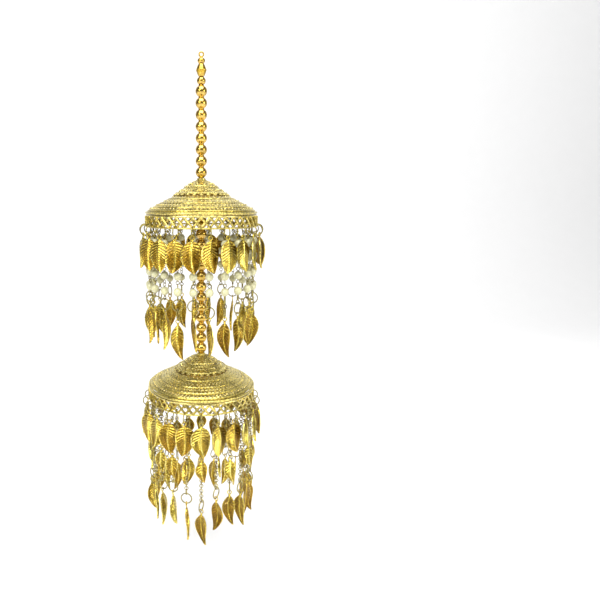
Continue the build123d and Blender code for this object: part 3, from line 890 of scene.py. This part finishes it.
def new_material(name):
    """A new material with its nodes, links and main shader."""
    material = bpy.data.materials.new(name)
    material.use_nodes = True
    nodes, links = material.node_tree.nodes, material.node_tree.links
    return material, nodes, links, nodes["Principled BSDF"]


def use_group(nodes, group, **values):
    """Place a shader group in a material with its own values."""
    made = nodes.new("ShaderNodeGroup")
    made.node_tree = group
    for label, value in values.items():
        made.inputs[label.replace("_", " ")].default_value = value
    return made


def hammer(nodes, links, shader, dents, grain, strength, depth):
    """Bump a shader with fine dents. depth is in millimetres."""
    height = use_group(
        nodes, built_tree("Hammered Height", hammered_group), Dent_Scale=dents, Grain_Scale=grain)
    bump = nodes.new("ShaderNodeBump")
    bump.inputs["Strength"].default_value = strength
    bump.inputs["Distance"].default_value = depth * MM
    links.new(height.outputs["Height"], bump.inputs["Height"])
    links.new(bump.outputs["Normal"], shader.inputs["Normal"])


def plated(finishes, kind):
    """A plated metal: painted shade and highlights, patches and hammering over one of the finishes' colours.
    """
    name = f"{kind.title()} Gold"
    known = bpy.data.materials.get(name)
    if known:
        return known
    colour = tuple(getattr(finishes, kind))
    groove, ridge, roughness, patches, sparkle, dents, depth = PLATINGS[kind]
    material, nodes, links, shader = new_material(name)
    shader.inputs["Metallic"].default_value = 1.0
    shader.inputs["Coat Weight"].default_value = 0.35
    shader.inputs["Coat Roughness"].default_value = 0.1
    tone = nodes.new("ShaderNodeAttribute")
    tone.attribute_name = "tone"
    tint = nodes.new("ShaderNodeAttribute")
    tint.attribute_name = "tint"
    group = use_group(
        nodes, built_tree("Plated Tone", plated_tone_group), Metal=(*colour, 1),
        Groove=(*shade_colour(colour, groove), 1), Bright=(*paler(colour, ridge), 1), Patch_Scale=patches,
        Grit=sparkle, Roughness=roughness)
    links.new(tone.outputs["Fac"], group.inputs["Tone"])
    links.new(tint.outputs["Fac"], group.inputs["Tint"])
    links.new(group.outputs["Color"], shader.inputs["Base Color"])
    links.new(group.outputs["Roughness"], shader.inputs["Roughness"])
    hammer(nodes, links, shader, dents, dents * 3.5, 0.6, depth)
    return material


def pearl_lustre(finishes):
    """Pearl: a pale body with faint patches under a clear gloss."""
    known = bpy.data.materials.get("Pearl Lustre")
    if known:
        return known
    colour = tuple(finishes.pearl)
    material, nodes, links, shader = new_material("Pearl Lustre")
    shader.inputs["Coat Weight"].default_value = 0.8
    shader.inputs["Coat Roughness"].default_value = 0.12
    shader.inputs["Sheen Weight"].default_value = 0.3
    group = use_group(
        nodes, built_tree("Plated Tone", plated_tone_group), Tone=0.7, Tint=0.0, Metal=(*colour, 1),
        Groove=(*shade_colour(colour, 0.6), 1), Bright=(*paler(colour, 0.5), 1), Patch_Scale=420.0,
        Grit=0.25, Roughness=0.2)
    links.new(group.outputs["Color"], shader.inputs["Base Color"])
    links.new(group.outputs["Roughness"], shader.inputs["Roughness"])
    hammer(nodes, links, shader, 600.0, 2600.0, 0.3, 0.05)
    return material


def studio_paper(finishes):
    """The floor and backdrop: matt paper with the faintest mottling."""
    material, nodes, links, shader = new_material("Studio Paper")
    shader.inputs["Roughness"].default_value = 0.9
    shader.inputs["Specular IOR Level"].default_value = 0.1
    place = nodes.new("ShaderNodeTexCoord")
    mottle = nodes.new("ShaderNodeTexNoise")
    mottle.inputs["Scale"].default_value = 40.0
    ramp = nodes.new("ShaderNodeMix")
    ramp.data_type = "RGBA"
    ramp.inputs[6].default_value = (*finishes.floor, 1)
    ramp.inputs[7].default_value = (*paler(tuple(finishes.floor), 0.2), 1)
    links.new(place.outputs["Object"], mottle.inputs["Vector"])
    links.new(mottle.outputs["Fac"], ramp.inputs["Factor"])
    links.new(ramp.outputs[2], shader.inputs["Base Color"])
    return material


def numbered(stem, count):
    return [f"{stem}_{k + 1:02d}" for k in range(count)]


class KALIRE_OT_stem(bpy.types.Operator):
    """Build the stem wire with its hang loop and the ball under the lower dome"""

    bl_idname = "kalire.stem"
    bl_label = "Stem Wire"

    def execute(self, context):
        finishes = context.scene.kalire_finishes
        low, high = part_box("stem_wire")
        ball = low.z / MM + STEM_BALL
        shape = Shape()
        shape.add(tube([(0, 0, -LOOP_RADIUS - 0.1), (0, 0, ball + 1.0)], STEM_WIRE / 2, 16))
        shape.add(turned(ball_outline(STEM_BALL, 16), 28), lifted(ball))
        loop = hoop(LOOP_RADIUS, LOOP_WIRE / 2, 14, 40)
        shape.add(loop, Matrix.Rotation(pi / 2, 4, "X"))
        dress("stem", shape.mesh("stem"), plated(finishes, "bead"), ["stem_wire"])
        return {"FINISHED"}


class KALIRE_OT_top_beads(bpy.types.Operator):
    """Build the end bead, the bicone and the small bead at the top of the stem"""

    bl_idname = "kalire.top_beads"
    bl_label = "End Bead, Bicone and Small Bead"

    def execute(self, context):
        gold = plated(context.scene.kalire_finishes, "bead")
        for node, diameter in (("end_bead", 3.7), ("small_bead", 4.4)):
            low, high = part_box(node)
            bead = drilled_bead(diameter, (high.z - low.z) / MM, BORE, None, 14, 32)
            shape = Shape().add(bead, lifted((low.z + high.z) / 2 / MM))
            dress(node + "_turned", shape.mesh(node), gold, [node])
        low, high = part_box("bicone_bead")
        radius, top, hole = (high.x - low.x) / 2 / MM, (high.z - low.z) / 2 / MM, BORE / 2
        outline, tones = [], []
        for k in range(15):
            z = -top + 2 * top * k / 14
            share = 1 - abs(z) / top
            belly = radius * (0.53 + 0.47 * share ** 0.8)
            outline.append((min(belly, radius), z))
            # The bicone gets two rings that are a little deeper in colour, and painted shade in its bore.
            tones.append(0.4 if k in (5, 9) else 0.8)
        outline += [(hole, top), (hole, -top)]
        place = lifted((low.z + high.z) / 2 / MM)
        shape = Shape().add(turned(outline, 40, tones + [0.3, 0.3]), place)
        shape.add(hoop(radius - 0.12, 0.16, 8, 48), place)
        dress("bicone", shape.mesh("bicone"), gold, ["bicone_bead"])
        return {"FINISHED"}


class KALIRE_OT_gold_beads(bpy.types.Operator):
    """Thread the round gold beads above and between the domes"""

    bl_idname = "kalire.gold_beads"
    bl_label = "Gold Beads"

    def execute(self, context):
        gold = plated(context.scene.kalire_finishes, "bead")
        diameter, tall = BEAD
        bead = drilled_bead(diameter, tall, BORE, BEAD_COLLAR)
        for node, count in (("top_beads", 8), ("middle_beads", 13)):
            low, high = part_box(node)
            pitch = ((high.z - low.z) / MM - tall) / (count - 1)
            spots = [
                ((0, 0, low.z / MM + tall / 2 + k * pitch), (0, 0, 37.0 * k), 1.0) for k in range(count)]
            mesh = copies_on(spots, bead, gold)
            dress(node + "_gold", mesh, gold, [node])
        return {"FINISHED"}


class KALIRE_OT_caps(bpy.types.Operator):
    """Build the filigree cap over each dome, with its scallops, petals and grains"""

    bl_idname = "kalire.caps"
    bl_label = "Caps"

    def execute(self, context):
        sizes, finishes = settings(context.scene)
        gold = plated(finishes, "pale")
        crown, flare = outline_arc(*CROWN_ARC), outline_arc(*FLARE_ARC)
        # The grains get full painted light, as painted highlights.
        grain = turned(ball_outline(sizes.grain / MM / 2, 6), 8, [1.0] * 7)
        for tier, rim in RIM.items():
            place = lifted(rim)
            shape = Shape()
            hole = BORE / 2
            neck = [
                (hole, CAP_TOP), (1.9, CAP_TOP), (2.2, CAP_TOP - 0.25), (2.2, 16.45), (2.7, 16.25),
                (2.7, 15.75), (hole, 15.55)]
            shape.add(turned(neck, 40), place)
            shape.add(pierced(crown, 0.02, 0.97, 4, 20, 0.5, CAP_WALL, 0.14), place)
            shape.add(pierced(flare, 0.03, 0.9, 3, 36, 0.46, CAP_WALL, 0.14), place)
            for line, share, wire in ((crown, 1.0, 0.34), (flare, 0.46, 0.22), (flare, 0.9, 0.3)):
                r, z, nr, nz = line(share)
                shape.add(hoop(r, wire, 8, 120), lifted(z - 0.05, place))
            # The hem ring's underside is painted dark, as the painted shadow under the hem.
            flat = [(11.9, 10.45), (13.2, 9.62), (13.2, 9.3), (12.9, 8.95), (11.9, 9.6)]
            shape.add(turned(flat, 144, [0.7, 0.6, 0.0, 0.0, 0.1]), place)
            # A ring painted fully dark just outside the hem: a painted shadow line where the hem meets the
            # dome.
            painted_hem_shadow = turned(ring_outline(13.6, 0.42, 8), 120, [0.0] * 8)
            shape.add(painted_hem_shadow, lifted(8.5, place))
            dress(f"{tier}_cap_shell", shape.mesh(f"{tier}_cap"), gold, [f"{tier}_cap"])
            # The scallops' raised tops get painted highlights, the dip between them and their undersides
            # painted shade.
            scallop_edge = [
                (0, 0.42), (0.35, 0.40), (0.55, 0.16), (0.85, 0.18), (1.0, 0.34), (1.15, 0.2), (1.15, -0.2),
                (1.0, -0.3), (0, -0.3)]
            scallop = turned(scallop_edge, 14, [1.0, 0.9, 0.15, 0.2, 1.0, 0.7, 0.05, 0.0, 0.0])
            spots = circle_spots(13.1, rim + 9.25, SCALLOPS, 29, 1.0, 0.0)
            mesh = copies_on(spots, scallop, gold)
            dress(f"{tier}_cap_scallops", mesh, gold, [f"{tier}_cap"])
            # The petals' raised tops and edges get painted highlights and the dip inside each painted shade.
            petal_edge = [
                (0, 0.30), (0.25, 0.30), (0.42, 0.05), (0.72, 0.05), (0.92, 0.30), (1.1, 0.12), (1.1, -0.4),
                (0, -0.4)]
            petal = turned(petal_edge, 12, [1.0, 0.9, 0.1, 0.1, 1.0, 0.7, 0.4, 0.4])
            spots = []
            for count, radius, height, slope, size in PETAL_ROWS:
                spots += circle_spots(radius, rim + height + 0.1, count, slope, size * 0.95)
            mesh = copies_on(spots, petal, gold)
            dress(f"{tier}_cap_petals", mesh, gold, [f"{tier}_cap"])
            grains = []
            for line, share, count in (
                    (crown, 0.3, 20), (crown, 0.97, 44), (flare, 0.1, 44), (flare, 0.5, 60),
                    (flare, 0.88, 72)):
                r, z, nr, nz = line(share)
                grains += circle_spots(r + 0.12 * nr, rim + z + 0.12 * nz, count, 0, 0.72)
            mesh = copies_on(grains, grain, gold)
            dress(f"{tier}_cap_grains", mesh, gold, [f"{tier}_cap"])
        return {"FINISHED"}


class KALIRE_OT_domes(bpy.types.Operator):
    """Build the pierced shell of each dome, its ridges, its grains and the sleeve inside"""

    bl_idname = "kalire.domes"
    bl_label = "Domes"

    def execute(self, context):
        sizes, finishes = settings(context.scene)
        gold = plated(finishes, "pale")
        line = outline_arc(*DOME_ARC)
        # The grains get full painted light, as painted highlights.
        grain = turned(ball_outline(sizes.grain / MM / 2, 6), 8, [1.0] * 7)
        for tier, rim in RIM.items():
            place = lifted(rim)
            shape = Shape()
            crown = sampled(line, 0.0, share_at(line, 12.4), 12)
            under = sampled(line, 0.0, share_at(line, 12.4), 12, -WALL)
            shape.add(turned(crown + [(max(r, BORE / 2), z) for r, z in reversed(under)], 72), place)
            for low, high, rows, count in DOME_BELTS:
                shape.add(
                    pierced(line, share_at(line, low), share_at(line, high), rows, count, 0.42, WALL, 0.16),
                    place)
            for radius, wire in DOME_RIDGES:
                r, z, nr, nz = line(share_at(line, radius))
                shape.add(hoop(r, wire, 8, 144), lifted(z + 0.04, place))
            outer = sampled(line, share_at(line, 26.6), 1.0, 3)
            inner = sampled(line, share_at(line, 26.6), 1.0, 3, -WALL)
            shape.add(turned(outer + inner[::-1], 144), place)
            head, foot = DOME_TOP - 0.6, SLEEVE_FOOT[tier]
            sleeve = [
                (BORE / 2, head), (SLEEVE_RADIUS, head), (SLEEVE_RADIUS, foot + 0.2),
                (SLEEVE_RADIUS - 0.2, foot), (BORE / 2, foot)]
            shape.add(turned(sleeve, 32), place)
            dress(f"{tier}_dome_shell", shape.mesh(f"{tier}_dome"), gold, [f"{tier}_dome"])
            grains = []
            for radius, count, size in DOME_GRAINS:
                r, z, nr, nz = line(share_at(line, radius))
                grains += circle_spots(r + 0.15 * nr, rim + z + 0.15 * nz, count, 0, size, 0.0)
            mesh = copies_on(grains, grain, gold)
            dress(f"{tier}_dome_grains", mesh, gold, [f"{tier}_dome"])
        return {"FINISHED"}


class KALIRE_OT_bands(bpy.types.Operator):
    """Build the rim, the lattice band and the edge wire of each dome"""

    bl_idname = "kalire.bands"
    bl_label = "Lattice Bands"

    def execute(self, context):
        sizes, finishes = settings(context.scene)
        gold = plated(finishes, "pale")
        inner = RIM_RADIUS - BAND_WALL
        high, low = -1.55, -BAND_HEIGHT + EDGE_WIRE / 2
        for tier, rim in RIM.items():
            place = lifted(rim)
            shape = Shape()
            strip = [
                (inner, 0.5), (RIM_RADIUS - 0.1, 0.5), (RIM_RADIUS, 0.3), (RIM_RADIUS, -0.15),
                (RIM_RADIUS - 0.16, -0.3), (RIM_RADIUS - 0.16, -0.55), (RIM_RADIUS, -0.7),
                (RIM_RADIUS, high + 0.1), (RIM_RADIUS - 0.1, high), (inner, high)]
            # The groove below the rim is painted dark as shade, and the rails' outer faces get painted
            # highlights.
            tones = [0.5, 0.8, 0.9, 0.9, 0.05, 0.05, 0.8, 0.9, 0.6, 0.4]
            shape.add(turned(strip, 180, tones), place)
            shape.add(hoop(RIM_RADIUS - 0.2, 0.55, 12, 180), lifted(0.45, place))
            shape.add(hoop(EDGE_RADIUS, EDGE_WIRE / 2, 12, 180), lifted(-BAND_HEIGHT, place))
            dress(f"{tier}_band_rails", shape.mesh(f"{tier}_band"), gold, [f"{tier}_dome"])
            mesh = grown(
                built_tree("Lattice Band", lattice_tree), bpy.data.meshes.new("band"),
                Radius=(RIM_RADIUS - 0.35) * MM, High=(rim + high + 0.1) * MM, Low=(rim + low - 0.1) * MM,
                Cells=sizes.cells, Strut=sizes.strut, Material=gold)
            dress(f"{tier}_band_lattice", mesh, gold, [f"{tier}_dome"])
        return {"FINISHED"}


class KALIRE_OT_broad_leaves(bpy.types.Operator):
    """Hang the jump rings and the broad leaves round both edge wires"""

    bl_idname = "kalire.broad_leaves"
    bl_label = "Broad Leaves"

    def execute(self, context):
        sizes, finishes = settings(context.scene)
        gold, wire = plated(finishes, "leaf"), plated(finishes, "wire")
        draw = random.Random(31)
        for tier, rows in (("upper", UPPER_LEAVES), ("lower", LOWER_LEAVES)):
            rim, spots = RIM[tier], []
            for pair in range(RINGS // 2):
                shape = Shape()
                for number in (2 * pair, 2 * pair + 1):
                    turn, hand = rows[number]
                    azimuth = ring_azimuth(tier, number)
                    place = hung_at(azimuth, LEAF_HANG[0], rim + LEAF_HANG[1], turn)
                    put_leaf(shape, BROAD_LEAF, place, hand, sizes, draw)
                    ring = hung_at(azimuth, RING_AXIS, rim - BAND_HEIGHT - RING_DROP)
                    spots.append((tuple(ring.translation), (0, 90, 180 + azimuth), 1.0))
                node = f"{tier}_leaves_{pair + 1:02d}"
                dress(f"{node}_stamped", shape.mesh(node), gold, [node])
            mesh = rings_on(spots, sizes.ring_radius / MM, sizes.ring_wire / MM, wire)
            dress(f"{tier}_jump_rings", mesh, wire, numbered(f"{tier}_leaves", RINGS // 2))
        return {"FINISHED"}


def string_top(tier):
    """Height of the top eye of a tier's strings."""
    return RIM[tier] + STRING_HANG[1]


def eye_spots(azimuth, height, turn=0.0, edge_on=False):
    """The place of one eye of a string."""
    place = hung_at(azimuth, STRING_HANG[0], height)
    angles = (0, 90, 180 + azimuth + turn) if edge_on else (90, 0, 180 + azimuth + turn)
    return tuple(place.translation), angles, 1.0


class KALIRE_OT_pearl_strings(bpy.types.Operator):
    """String the pearls under the upper dome, with the wire eyes that join them"""

    bl_idname = "kalire.pearl_strings"
    bl_label = "Pearl Strings"

    def execute(self, context):
        sizes, finishes = settings(context.scene)
        lustre, wire = pearl_lustre(finishes), plated(finishes, "wire")
        nodes = numbered("upper_string", RINGS // 2)
        diameter = sizes.pearl / MM
        draw = random.Random(8)
        pearls, eyes, small = [], [], []
        pins = Shape()
        top = string_top("upper")
        for number, (more, turn, second) in enumerate(UPPER_STRINGS):
            azimuth = ring_azimuth("upper", number)
            place = hung_at(azimuth, STRING_HANG[0], 0)
            heights = [top - FIRST_PEARL - k * PEARL_PITCH for k in range(PEARLS)]
            foot = heights[-1] - diameter / 2 - 1.3 - more
            for k, height in enumerate(heights):
                spot = tuple(lifted(height, place).translation)
                pearls.append((spot, (0, 0, draw.uniform(0, 360)), draw.uniform(0.95, 1.0)))
                pins.add(tube([(0, 0, height + 2.12), (0, 0, height - 2.12)], THREAD / 2, 8), place)
                if k:
                    middle = (height + heights[k - 1]) / 2
                    spin = draw.uniform(0, 180)
                    for side, angle in ((0.68, spin), (-0.68, spin + 90)):
                        eye = eye_spots(azimuth, middle + side, angle)
                        small.append(eye)
            eyes += [eye_spots(azimuth, top), eye_spots(azimuth, foot, turn, True)]
            pins.add(tube([(0, 0, top - 0.8), (0, 0, heights[0] + 1.9)], THREAD / 2, 8), place)
            pins.add(tube([(0, 0, heights[-1] - 1.9), (0, 0, foot + 0.8)], THREAD / 2, 8), place)
            for high, low in ((top - 1.05, heights[0] + 1.98), (heights[-1] - 1.98, foot + 1.05)):
                turns = max(1, round((high - low) / COIL_PITCH))
                path = []
                for k in range(turns * 10 + 1):
                    angle = 2 * pi * k / 10
                    path.append((0.4 * cos(angle), 0.4 * sin(angle), high - (high - low) * k / (turns * 10)))
                pins.add(tube(path, COIL_WIRE, 6), place)
        pearl = drilled_bead(diameter, diameter, PEARL_HOLE, None, 12, 20)
        dress("pearls", copies_on(pearls, pearl, lustre), lustre, nodes, 70)
        dress("pearl_pins", pins.mesh("pins"), wire, nodes)
        mesh = rings_on(eyes, EYE_RADIUS, EYE_WIRE, wire, 20, 7, 352.0)
        dress("pearl_string_eyes", mesh, wire, nodes)
        mesh = rings_on(small, *LINK_EYE, wire, 18, 6, 352.0)
        dress("pearl_link_eyes", mesh, wire, nodes)
        return {"FINISHED"}


def hang_drops(scene, tier, rows, draw):
    """Hang end rings and long leaves. A row has the ring's height and turn, whether it has a second ring
    under it, and the hand of the leaf."""
    sizes, finishes = settings(scene)
    gold, wire = plated(finishes, "leaf"), plated(finishes, "wire")
    radius, thick = sizes.ring_radius / MM, sizes.ring_wire / MM
    shape, spots = Shape(), []
    for number, (height, turn, second, hand) in enumerate(rows):
        azimuth = ring_azimuth(tier, number)
        spots.append(eye_spots(azimuth, height, turn))
        face = turn + 90
        if second:
            height -= 2 * radius - thick - 0.12
            spots.append(eye_spots(azimuth, height, turn + 90))
            face = turn
        place = hung_at(azimuth, STRING_HANG[0], height - radius - LINK_PLAY, face)
        put_leaf(shape, LONG_LEAF, place, hand, sizes, draw)
    node = f"{tier}_drops"
    dress(f"{tier}_drop_leaves", shape.mesh(node), gold, [node])
    dress(f"{tier}_drop_rings", rings_on(spots, radius, thick, wire), wire, [node])


class KALIRE_OT_upper_drops(bpy.types.Operator):
    """Hang the end rings and long leaves under the pearl strings"""

    bl_idname = "kalire.upper_drops"
    bl_label = "Upper Drops"

    def execute(self, context):
        rows = []
        for number, (more, turn, second) in enumerate(UPPER_STRINGS):
            foot = string_top("upper") - FIRST_PEARL - (PEARLS - 1) * PEARL_PITCH - 2.0 - 1.3 - more
            height = foot - EYE_PLAY - context.scene.kalire_sizes.ring_radius / MM
            rows.append((height, turn, second, 1 if number % 2 else -1))
        hang_drops(context.scene, "upper", rows, random.Random(52))
        return {"FINISHED"}


class KALIRE_OT_fine_strings(bpy.types.Operator):
    """Hang the fine chains under the lower dome, each with its small leaf"""

    bl_idname = "kalire.fine_strings"
    bl_label = "Fine Strings"

    def execute(self, context):
        sizes, finishes = settings(context.scene)
        gold, chain = plated(finishes, "leaf"), plated(finishes, "chain")
        nodes = numbered("lower_string", RINGS // 2)
        draw = random.Random(77)
        lines, edges, eyes = [], [], []
        leaves = Shape()
        for number, (fall, leaf_fall, turn, leaf_turn) in enumerate(LOWER_STRINGS):
            azimuth = ring_azimuth("lower", number)
            top, rim = string_top("lower"), RIM["lower"]
            foot = rim - BAND_HEIGHT - fall + sizes.ring_radius / MM + EYE_PLAY
            place = hung_at(azimuth, STRING_HANG[0], 0)
            for height in (top - 1.2, foot + 1.2):
                lines.append(tuple(lifted(height, place).translation * MM))
            edges.append((len(lines) - 2, len(lines) - 1))
            eyes += [eye_spots(azimuth, top), eye_spots(azimuth, foot, turn, True)]
            hung = lifted(rim - BAND_HEIGHT - leaf_fall, place) @ turn_z(leaf_turn)
            put_leaf(leaves, SMALL_LEAF, hung @ Matrix.Translation((0, 1.0, 0)), 1, sizes, draw)
        source = bpy.data.meshes.new("strings")
        source.from_pydata(lines, edges, [])
        mesh = grown(
            built_tree("Fine Chain", chain_tree), source, Link_Radius=sizes.link, Wire=sizes.link_wire,
            Material=chain)
        dress("fine_chains", mesh, chain, nodes)
        mesh = rings_on(eyes, EYE_RADIUS, EYE_WIRE, chain, 20, 7, 352.0)
        dress("fine_string_eyes", mesh, chain, nodes)
        dress("small_leaves", leaves.mesh("small_leaves"), gold, nodes)
        return {"FINISHED"}


class KALIRE_OT_lower_drops(bpy.types.Operator):
    """Hang the end rings and long leaves under the fine strings"""

    bl_idname = "kalire.lower_drops"
    bl_label = "Lower Drops"

    def execute(self, context):
        rows = []
        for number, (fall, leaf_fall, turn, leaf_turn) in enumerate(LOWER_STRINGS):
            rows.append((RIM["lower"] - BAND_HEIGHT - fall, turn, False, -1 if number % 3 else 1))
        hang_drops(context.scene, "lower", rows, random.Random(90))
        return {"FINISHED"}


def soft_light(name, place, target, size, power, colour=(1, 1, 1)):
    """A square soft box that looks at a point. Places are in metres and power in watts."""
    data = bpy.data.lights.new(name, "AREA")
    data.shape = "SQUARE"
    data.size = size
    data.energy = power
    data.color = colour
    light = bpy.data.objects.new(name, data)
    light.location = place
    light.rotation_euler = (Vector(target) - Vector(place)).to_track_quat("-Z", "Y").to_euler()
    bpy.context.scene.collection.objects.link(light)


class KALIRE_OT_studio(bpy.types.Operator):
    """Set the pale floor, its curved backdrop, the soft lights and the camera"""

    bl_idname = "kalire.studio"
    bl_label = "Studio"

    def execute(self, context):
        scene = context.scene
        floor, bend, far, wide, high = CAD_BOX[0].z - 0.03, 0.35, 0.9, 1.8, 1.3
        outline = [(-1.2, floor), (0.0, floor), (far - bend, floor)]
        for k in range(1, 13):
            angle = pi / 2 * k / 12
            outline.append((far - bend + bend * sin(angle), floor + bend * (1 - cos(angle))))
        outline.append((far, high))
        points = [(side * wide, y, z) for y, z in outline for side in (-1, 1)]
        faces = [(2 * k, 2 * k + 1, 2 * k + 3, 2 * k + 2) for k in range(len(outline) - 1)]
        mesh = bpy.data.meshes.new("backdrop")
        mesh.from_pydata(points, [], faces)
        mesh.shade_smooth()
        mesh.materials.append(studio_paper(scene.kalire_finishes))
        backdrop = bpy.data.objects.new("backdrop", mesh)
        scene.collection.objects.link(backdrop)

        middle = (0, 0, (CAD_BOX[0].z + CAD_BOX[1].z) / 2)
        soft_light("key_light", (-0.35, -0.45, 0.1), middle, 0.22, 1.7)
        soft_light("fill_light", (0.5, -0.3, 0.0), middle, 0.25, 1.1)
        soft_light("top_light", (0.0, 0.3, 0.45), middle, 0.6, 0.7)
        soft_light("backdrop_light", (0.0, -0.5, 0.9), (0, 0.4, -0.2), 1.2, 22.0)
        world = bpy.data.worlds.new("Studio Air")
        world.use_nodes = True
        world.node_tree.nodes["Background"].inputs["Color"].default_value = (0.85, 0.85, 0.85, 1)
        world.node_tree.nodes["Background"].inputs["Strength"].default_value = 0.29
        scene.world = world
        scene.view_settings.view_transform = "Standard"

        data = bpy.data.cameras.new("camera")
        data.sensor_width = 36.0
        data.lens = 30.55
        data.shift_x = 0.1645
        data.clip_start = 0.01
        camera = bpy.data.objects.new("camera", data)
        camera.location = (0.0, -0.2606, -0.06907)
        camera.rotation_euler = (radians(90 - 10.91), 0, 0)
        scene.collection.objects.link(camera)
        scene.camera = camera
        return {"FINISHED"}


OPERATORS = (
    KALIRE_OT_stem, KALIRE_OT_top_beads, KALIRE_OT_gold_beads, KALIRE_OT_caps, KALIRE_OT_domes,
    KALIRE_OT_bands, KALIRE_OT_broad_leaves, KALIRE_OT_pearl_strings, KALIRE_OT_upper_drops,
    KALIRE_OT_fine_strings, KALIRE_OT_lower_drops, KALIRE_OT_studio)


class KALIRE_PT_sidebar(bpy.types.Panel):
    """The ornament's sizes, finishes and builders"""

    bl_label = "Kalire"
    bl_space_type = "VIEW_3D"
    bl_region_type = "UI"
    bl_category = "Kalire"

    def draw(self, context):
        for group in (context.scene.kalire_sizes, context.scene.kalire_finishes):
            box = self.layout.box()
            for name in group.__annotations__:
                box.prop(group, name)
        for operator in OPERATORS:
            self.layout.operator(operator.bl_idname)


CLASSES = (KalireSizes, KalireFinishes, *OPERATORS, KALIRE_PT_sidebar)


def register():
    for cls in CLASSES:
        bpy.utils.register_class(cls)
    bpy.types.Scene.kalire_sizes = PointerProperty(type=KalireSizes)
    bpy.types.Scene.kalire_finishes = PointerProperty(type=KalireFinishes)


def unregister():
    del bpy.types.Scene.kalire_finishes
    del bpy.types.Scene.kalire_sizes
    for cls in reversed(CLASSES):
        bpy.utils.unregister_class(cls)


def main():
    """Build every piece in order."""
    register()
    for operator in OPERATORS:
        family, name = operator.bl_idname.split(".")
        getattr(getattr(bpy.ops, family), name)()


if __name__ == "__main__":
    main()
